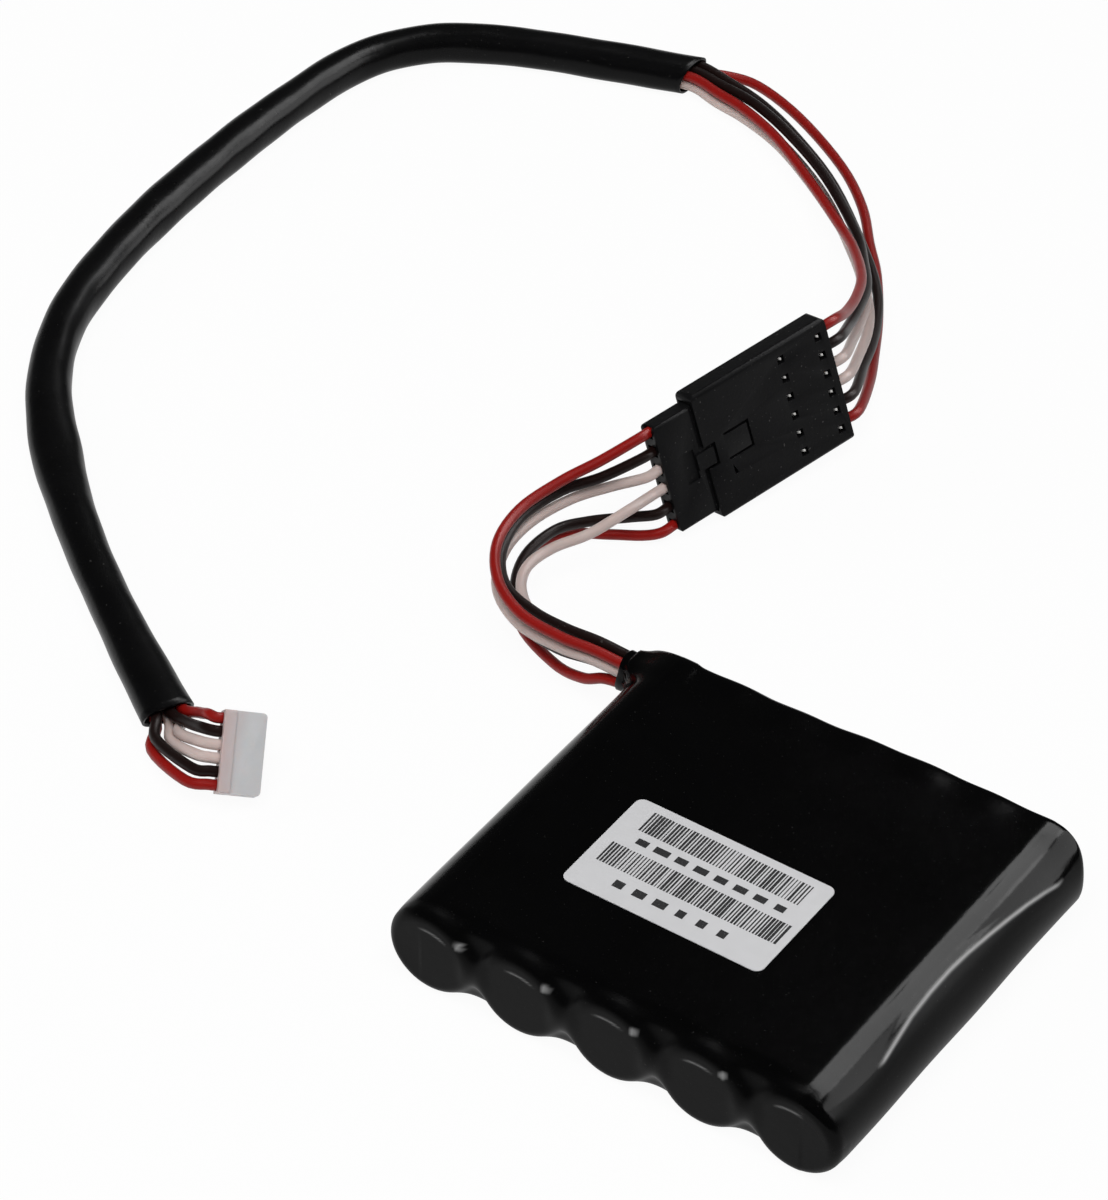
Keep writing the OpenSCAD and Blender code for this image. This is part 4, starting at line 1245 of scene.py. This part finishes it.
    def _pale_marks(self, p: Array) -> Array:
        """Strength of the painted highlights: a thin line along the side's fold, arcs on the brows
        and dots above the gaps between the cells.

        Args:
            p: Points, in millimetres.

        Returns:
            Numbers from 0 to 1.
        """
        # painted highlight line along the side's fold
        near, far = self.fold_ends
        side = bell(self._above_fold(p), 0, self.fold_width) * (p[:, 0] > HALF_ROW) \
            * ramp(p[:, 1], *near) * ramp(p[:, 1], *far)
        i, x, z = self._on_front(p)
        # painted highlight arcs on the brows of the ends
        ring = np.hypot(x - self.brow_x, z - self.brow_z)
        step, start = self.brow_slip
        brow = self.brow_pale * bell(ring, self.brow_r, self.brow_width) \
            * ramp(np.abs(x + step * i - start), *self.brow_ends)
        # painted highlight dots above the gaps between the cells
        off = np.hypot(x - (self.knot_x[0] + self.knot_x[1] * i),
                       (z - (self.knot_z[0] + self.knot_z[1] * i)) * self.knot_tall)
        painted_glint = self.knot_pale * ramp(off, *self.knot_edge) * (i < CELL_COUNT - 1)
        # the highlight arcs and dots are painted only near the front, above the cells' middles
        front = (p[:, 1] < FRONT_Y + self.pale_depth) * (z > 0)
        return np.maximum(side, np.maximum(brow, painted_glint) * front)

    def _mouth(self) -> Array:
        """Makes the film's open, pleated mouth round the leads.

        Returns:
            Its points, ring after ring.
        """
        angle = np.linspace(0, 2 * math.pi, self.mouth_sides, endpoint=False)
        y, z = squared(angle, self.mouth_power)
        slant = sum(high * np.sin(angle * times) for high, times in self.mouth_slant)
        rings = []
        for j, (x, half_y, half_z) in enumerate(self.mouth_rings):
            pleat = 1 + self.pleat_high[j > 7] * wave(angle, self.pleats, self.pleat_slip * j) \
                * (1 - abs(x - self.pleat_x) / self.pleat_span)
            rings.append(np.column_stack([x + slant * (j > 3), NECK_Y + half_y * y * pleat,
                                          NECK_Z + half_z * z * pleat]))
        return np.vstack(rings)


# ------------------------------------------------------------------ label

def bars_tree() -> Tree:
    """Builds the Geometry Nodes tree that sets a row of bars of random width.

    Returns:
        The tree.
    """
    tree, given = new_tree("Geometry", "Bar row", {
        "Geometry": "Geometry", "Row Width": 20 * MM, "Bar Height": 2.4 * MM,
        "Thinnest": 0.08 * MM, "Thickest": 0.3 * MM, "Ink": 0.012 * MM, "Count": 40, "Seed": 3,
        "Place": "Vector", "Finish": "Material"}, ("Geometry", "Geometry"))
    ends = [add_node(tree, "ShaderNodeCombineXYZ", {
        "X": calc(tree, "MULTIPLY", given["Row Width"], part)}).outputs[0] for part in (-0.5, 0.5)]
    row = add_node(tree, "GeometryNodeMeshLine", {
        "Count": given["Count"], "Start Location": ends[0], "Offset": ends[1]},
        mode="END_POINTS")
    wide = add_node(tree, "FunctionNodeRandomValue", {
        2: given["Thinnest"], 3: given["Thickest"], "Seed": given["Seed"]}, data_type="FLOAT")
    size = add_node(tree, "ShaderNodeCombineXYZ", {
        "X": wide.outputs[1], "Y": given["Bar Height"], "Z": given["Ink"]})
    bars = add_node(tree, "GeometryNodeInstanceOnPoints", {
        "Points": row.outputs["Mesh"], "Scale": size.outputs[0],
        "Instance": add_node(tree, "GeometryNodeMeshCube").outputs["Mesh"]})
    moved = add_node(tree, "GeometryNodeTransform", {
        "Geometry": bars.outputs["Instances"], "Translation": given["Place"]})
    return end_shape(tree, moved.outputs["Geometry"], given["Finish"])


@dataclass
class Label:
    """Paper label with two rows of plain bars and short plain dashes, without any words."""

    middle: tuple = (-2.2, -4.9)
    size: tuple = (25.4, 15.3)
    thick: float = 0.1
    corner: float = 1.0
    arc: int = 8
    edge: float = 0.02
    edge_in: float = 0.9975
    ink_up: float = 0.006
    print_rows: tuple = (
        ("bars_1", (0.25, 4.85), 20.2, 3.3, (0.1, 0.34), 52, 11),
        ("dashes_1", (0.4, 1.75), 17.6, 0.95, (0.9, 1.9), 8, 5),
        ("bars_2", (0.25, -1.45), 22.6, 3.3, (0.1, 0.34), 59, 29),
        ("dashes_2", (-0.3, -5.0), 13.2, 1.1, (0.9, 1.9), 6, 17))

    def build(self) -> None:
        """Builds the sheet and its print."""
        dress(self._sheet(), "label_paper", "label")
        tree = bars_tree()
        for row, (x, y), width, height, (thin, thick), count, seed in self.print_rows:
            place = (self.middle[0] + x, self.middle[1] + y, PACK_TOP + self.thick + self.ink_up)
            name = f"label_{row}"
            piece = grow(link_new(name, bpy.data.meshes.new(name)), tree, "label_ink", {
                "Row Width": width * MM, "Bar Height": height * MM, "Thinnest": thin * MM,
                "Thickest": thick * MM, "Count": count, "Seed": seed,
                "Place": in_metres([place])[0]})
            dress(piece, "label_paper")

    def _sheet(self) -> Piece:
        """Builds the thin sheet with rounded corners and a softly broken edge.

        Returns:
            The sheet's piece.
        """
        rim, flat = [], [whole / 2 - self.corner for whole in self.size]
        for quarter, (right, up) in enumerate(((1, 1), (-1, 1), (-1, -1), (1, -1))):
            for j in range(self.arc + 1):
                a = math.radians(90 * quarter + 90 * j / self.arc)
                rim.append((right * flat[0] + self.corner * math.cos(a),
                            up * flat[1] + self.corner * math.sin(a)))
        layers = ((1, 0), (1, self.thick - self.edge), (self.edge_in, self.thick))
        points = [(self.middle[0] + x * scale, self.middle[1] + y * scale, PACK_TOP + z)
                  for scale, z in layers for x, y in rim]
        n = len(rim)
        faces = band(len(layers), n, inner=True)
        faces += [tuple(range(n))[::-1], tuple(range(2 * n, 3 * n))]
        return make_object("label_sheet", points, faces, "label_paper", smooth=False)


# ------------------------------------------------------------------ moulded housings

def bevelled_copy(node: str, name: str, slot: str, width: float, segments: int) -> Piece:
    """Copies a CAD node's mesh with its sharp edges broken as a mould leaves them.

    Args:
        node: CAD node whose shape is used.
        name: Name of the new piece.
        slot: Its finish.
        width: Width of the broken edge, in millimetres.
        segments: Faces across each broken edge.

    Returns:
        The new plain piece, dressed.
    """
    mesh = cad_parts[node].data.copy()
    mesh.name = name
    mesh.materials.clear()
    mesh.materials.append(MATERIALS[slot])
    face_out(mesh, flat=FLAT_UNDER)
    piece = link_new(name, mesh)
    bevel = piece.modifiers.new("Edges", "BEVEL")
    bevel.width = width * MM
    bevel.segments = segments
    bevel.limit_method = "ANGLE"
    bevel.angle_limit = math.radians(BEVEL_FROM)
    plain = make_plain(piece)
    plain.data.polygons.foreach_set("use_smooth", [True] * len(plain.data.polygons))
    plain.data.set_sharp_from_angle(angle=math.radians(SHARP_FROM))
    return dress(plain, slot, node)


def paint_node(node: str, slot: str) -> Piece:
    """Gives a CAD node that stays its detailed finish.

    Args:
        node: Name of the CAD node.
        slot: Its finish.

    Returns:
        The node's object.
    """
    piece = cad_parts[node]
    if not piece.material_slots:
        piece.data.materials.append(None)
    for place in piece.material_slots:
        place.material = MATERIALS[slot]
    LOG.info("%s: finish %s", node, slot)
    return piece


@dataclass
class InlineConnector:
    """The two mated housings and their twelve terminals."""

    edge: float = 0.07
    segments: int = 2
    windows: tuple = (13.4, 19.2)
    lance_half: tuple = (0.24, 0.16)
    lance_low: float = -0.7
    lance_high: float = -0.26
    lance_thick: float = 0.15
    box_faces: tuple = ((0, 1, 3, 2), (4, 6, 7, 5), (0, 4, 5, 1), (2, 3, 7, 6), (0, 2, 6, 4),
                        (1, 5, 7, 3))

    def build(self) -> list[Piece]:
        """Builds both housings and gives the terminals their metal.

        Returns:
            All of the connector's pieces.
        """
        return [bevelled_copy("pack_housing", "connector_inner_half", "black_housing",
                              self.edge, self.segments),
                bevelled_copy("harness_housing", "connector_outer_half", "black_housing",
                              self.edge, self.segments),
                paint_node("pack_terminals", "tin_plate"),
                paint_node("harness_terminals", "tin_plate"), self._lances()]

    def _lances(self) -> Piece:
        """Builds the terminals' bent lances, which show in the twelve windows.

        Returns:
            The piece, dressed.
        """
        points, faces = [], []
        half_y, half_z = self.lance_half
        for window in self.windows:
            for k in range(LEAD_COUNT):
                faces += [tuple(len(points) + i for i in side) for side in self.box_faces]
                row = Leads().row_z(k)
                points += [CASE_SEAT.point(x, window + y, row + z)
                           for y, top in ((-half_y, self.lance_low), (half_y, self.lance_high))
                           for x in (top - self.lance_thick, top) for z in (-half_z, half_z)]
        piece = make_object("terminal_lances", points, faces, "tin_plate", smooth=False)
        face_out(piece.data)
        return dress(piece, "tin_plate")


@dataclass
class WhitePlug:
    """The small white plug with its warmer rim at the wire end."""

    edge: float = 0.12
    segments: int = 3
    rim: tuple = (1.35, 1.25)

    def build(self) -> list[Piece]:
        """Builds the plug and gives its contacts their metal.

        Returns:
            Both pieces.
        """
        piece = bevelled_copy("white_plug", "plug_body", "white_nylon", self.edge, self.segments)
        origin = Vector(PLUG_SEAT.point(0, 0, 0))
        ahead = Vector(PLUG_SEAT.point(0, 1, 0)) - origin
        run = np.array([(v.co / MM - origin).dot(ahead) for v in piece.data.vertices])
        set_mark(piece, "zone", ramp(run, *self.rim))
        return [piece, paint_node("plug_contacts", "tin_plate")]


@dataclass
class PackInside:
    """What the film hides: cells, seals, pins, board and joints, each with its own finish."""

    finishes: dict = field(default_factory=lambda: {
        **{f"cell_{i + 1}": "cell_can" for i in range(CELL_COUNT)},
        "cell_sleeves": "cell_sleeve", "front_discs": "fibre_card", "end_seals": "seal_rubber",
        "cell_pins": "tin_plate", "circuit_board": "board_green",
        "balance_resistors": "chip_black", "thermistor": "chip_black",
        "solder_joints": "solder"})

    def build(self) -> None:
        """Gives each hidden CAD node its finish."""
        for node, slot in self.finishes.items():
            paint_node(node, slot)


# ------------------------------------------------------------------ studio

class Shine(Enum):
    """What a lamp does: lights the matt part of a surface, or shows in its gloss."""

    MATT = "matt"
    GLOSS = "gloss"


@dataclass
class Studio:
    """Pale floor, soft lamps, plain room and the camera."""

    target: Point = (-48.63, 34.96, 0.0)
    azimuth: float = 34.77
    elevation: float = 40.95
    distance: float = 633.67
    lens: float = 163.85
    sensor: float = 36
    clip: tuple = (0.01, 50)
    floor_half: float = 30.0
    floor_colour: float = 0.86
    floor_glow: float = 0.95
    room: float = 0.08
    lamps: tuple = (
        ("overhead", (0.25, -0.35, 1.15), (-0.04, 0.03, 0), (1.1, 0.9), 13.9, Shine.MATT),
        ("high_back", (0.06, 0.69, 0.87), (0.02, 0.0, 0.01), (0.66, 0.34), 8.6, Shine.GLOSS),
        ("right_back", (0.64, 0.70, 0.56), (0.02, 0.0, 0.01), (0.7, 0.7), 10.0, Shine.GLOSS),
        ("left_fill", (-1.0, -0.35, 0.60), (-0.05, 0.04, 0), (0.7, 0.6), 3.4, Shine.MATT))

    def build(self) -> None:
        """Builds the camera, lamps, room and floor."""
        self._camera()
        for name, place, aim, size, power, shine in self.lamps:
            data = bpy.data.lights.new(name, "AREA")
            data.shape = "RECTANGLE"
            data.size, data.size_y = size
            data.energy = power
            lamp = link_new(name, data)
            lamp.location = place
            turn = (Vector(place) - Vector(aim)).to_track_quat("Z", "Y")
            lamp.rotation_euler = turn.to_euler()
            lamp.visible_diffuse = shine is Shine.MATT
            lamp.visible_glossy = shine is Shine.GLOSS
        self._room()
        self._floor()

    def _camera(self) -> None:
        """Makes the camera."""
        a, e = math.radians(self.azimuth), math.radians(self.elevation)
        back = Vector((math.sin(a) * math.cos(e), -math.cos(a) * math.cos(e), math.sin(e)))
        data = bpy.data.cameras.new("camera")
        data.lens = self.lens
        data.sensor_width = self.sensor
        data.clip_start, data.clip_end = self.clip
        camera = link_new("camera", data)
        camera.location = (Vector(self.target) + back * self.distance) * MM
        camera.rotation_euler = back.to_track_quat("Z", "Y").to_euler()
        bpy.context.scene.camera = camera
        bpy.context.scene.view_settings.view_transform = "Standard"

    def _room(self) -> None:
        """Lights the room evenly."""
        world = bpy.data.worlds.new("room")
        bpy.context.scene.world = world
        world.use_nodes = True
        world.node_tree.nodes.clear()
        shade = add_node(world.node_tree, "ShaderNodeBackground", {"Strength": self.room})
        add_node(world.node_tree, "ShaderNodeOutputWorld", {"Surface": shade.outputs[0]})

    def _floor(self) -> None:
        """Makes the pale floor, which keeps the object's shadow."""
        s = self.floor_half
        mesh = bpy.data.meshes.new("floor")
        mesh.from_pydata([(-s, -s, 0), (s, -s, 0), (s, s, 0), (-s, s, 0)], [], [(0, 1, 2, 3)])
        material = bpy.data.materials.new("Pale floor")
        material.use_nodes = True
        tree = material.node_tree
        tree.nodes.clear()
        matt = add_node(tree, "ShaderNodeBsdfDiffuse", {
            "Color": (self.floor_colour,) * 3 + (1,)})
        glow = add_node(tree, "ShaderNodeEmission", {"Color": (1, 1, 1, 1)})
        path = add_node(tree, "ShaderNodeLightPath").outputs
        seen = calc(tree, "MAXIMUM", path["Is Camera Ray"], calc(
            tree, "MAXIMUM", path["Is Glossy Ray"], path["Is Transmission Ray"]))
        mix = add_node(tree, "ShaderNodeMixShader", {
            0: calc(tree, "MULTIPLY", seen, self.floor_glow), 1: matt.outputs[0],
            2: glow.outputs[0]})
        add_node(tree, "ShaderNodeOutputMaterial", {"Surface": mix.outputs[0]})
        mesh.materials.append(material)
        link_new("floor", mesh)


def main() -> None:
    """Builds every sub-assembly in order."""
    logging.basicConfig(level=logging.INFO, format="%(name)s %(message)s")
    Studio().build()
    sleeve = Sleeve()
    Leads().build(sleeve.middle(), InlineConnector().build(), WhitePlug().build())
    sleeve.build()
    ShrinkFilm().build()
    Label().build()
    PackInside().build()


if __name__ == "__main__":
    main()
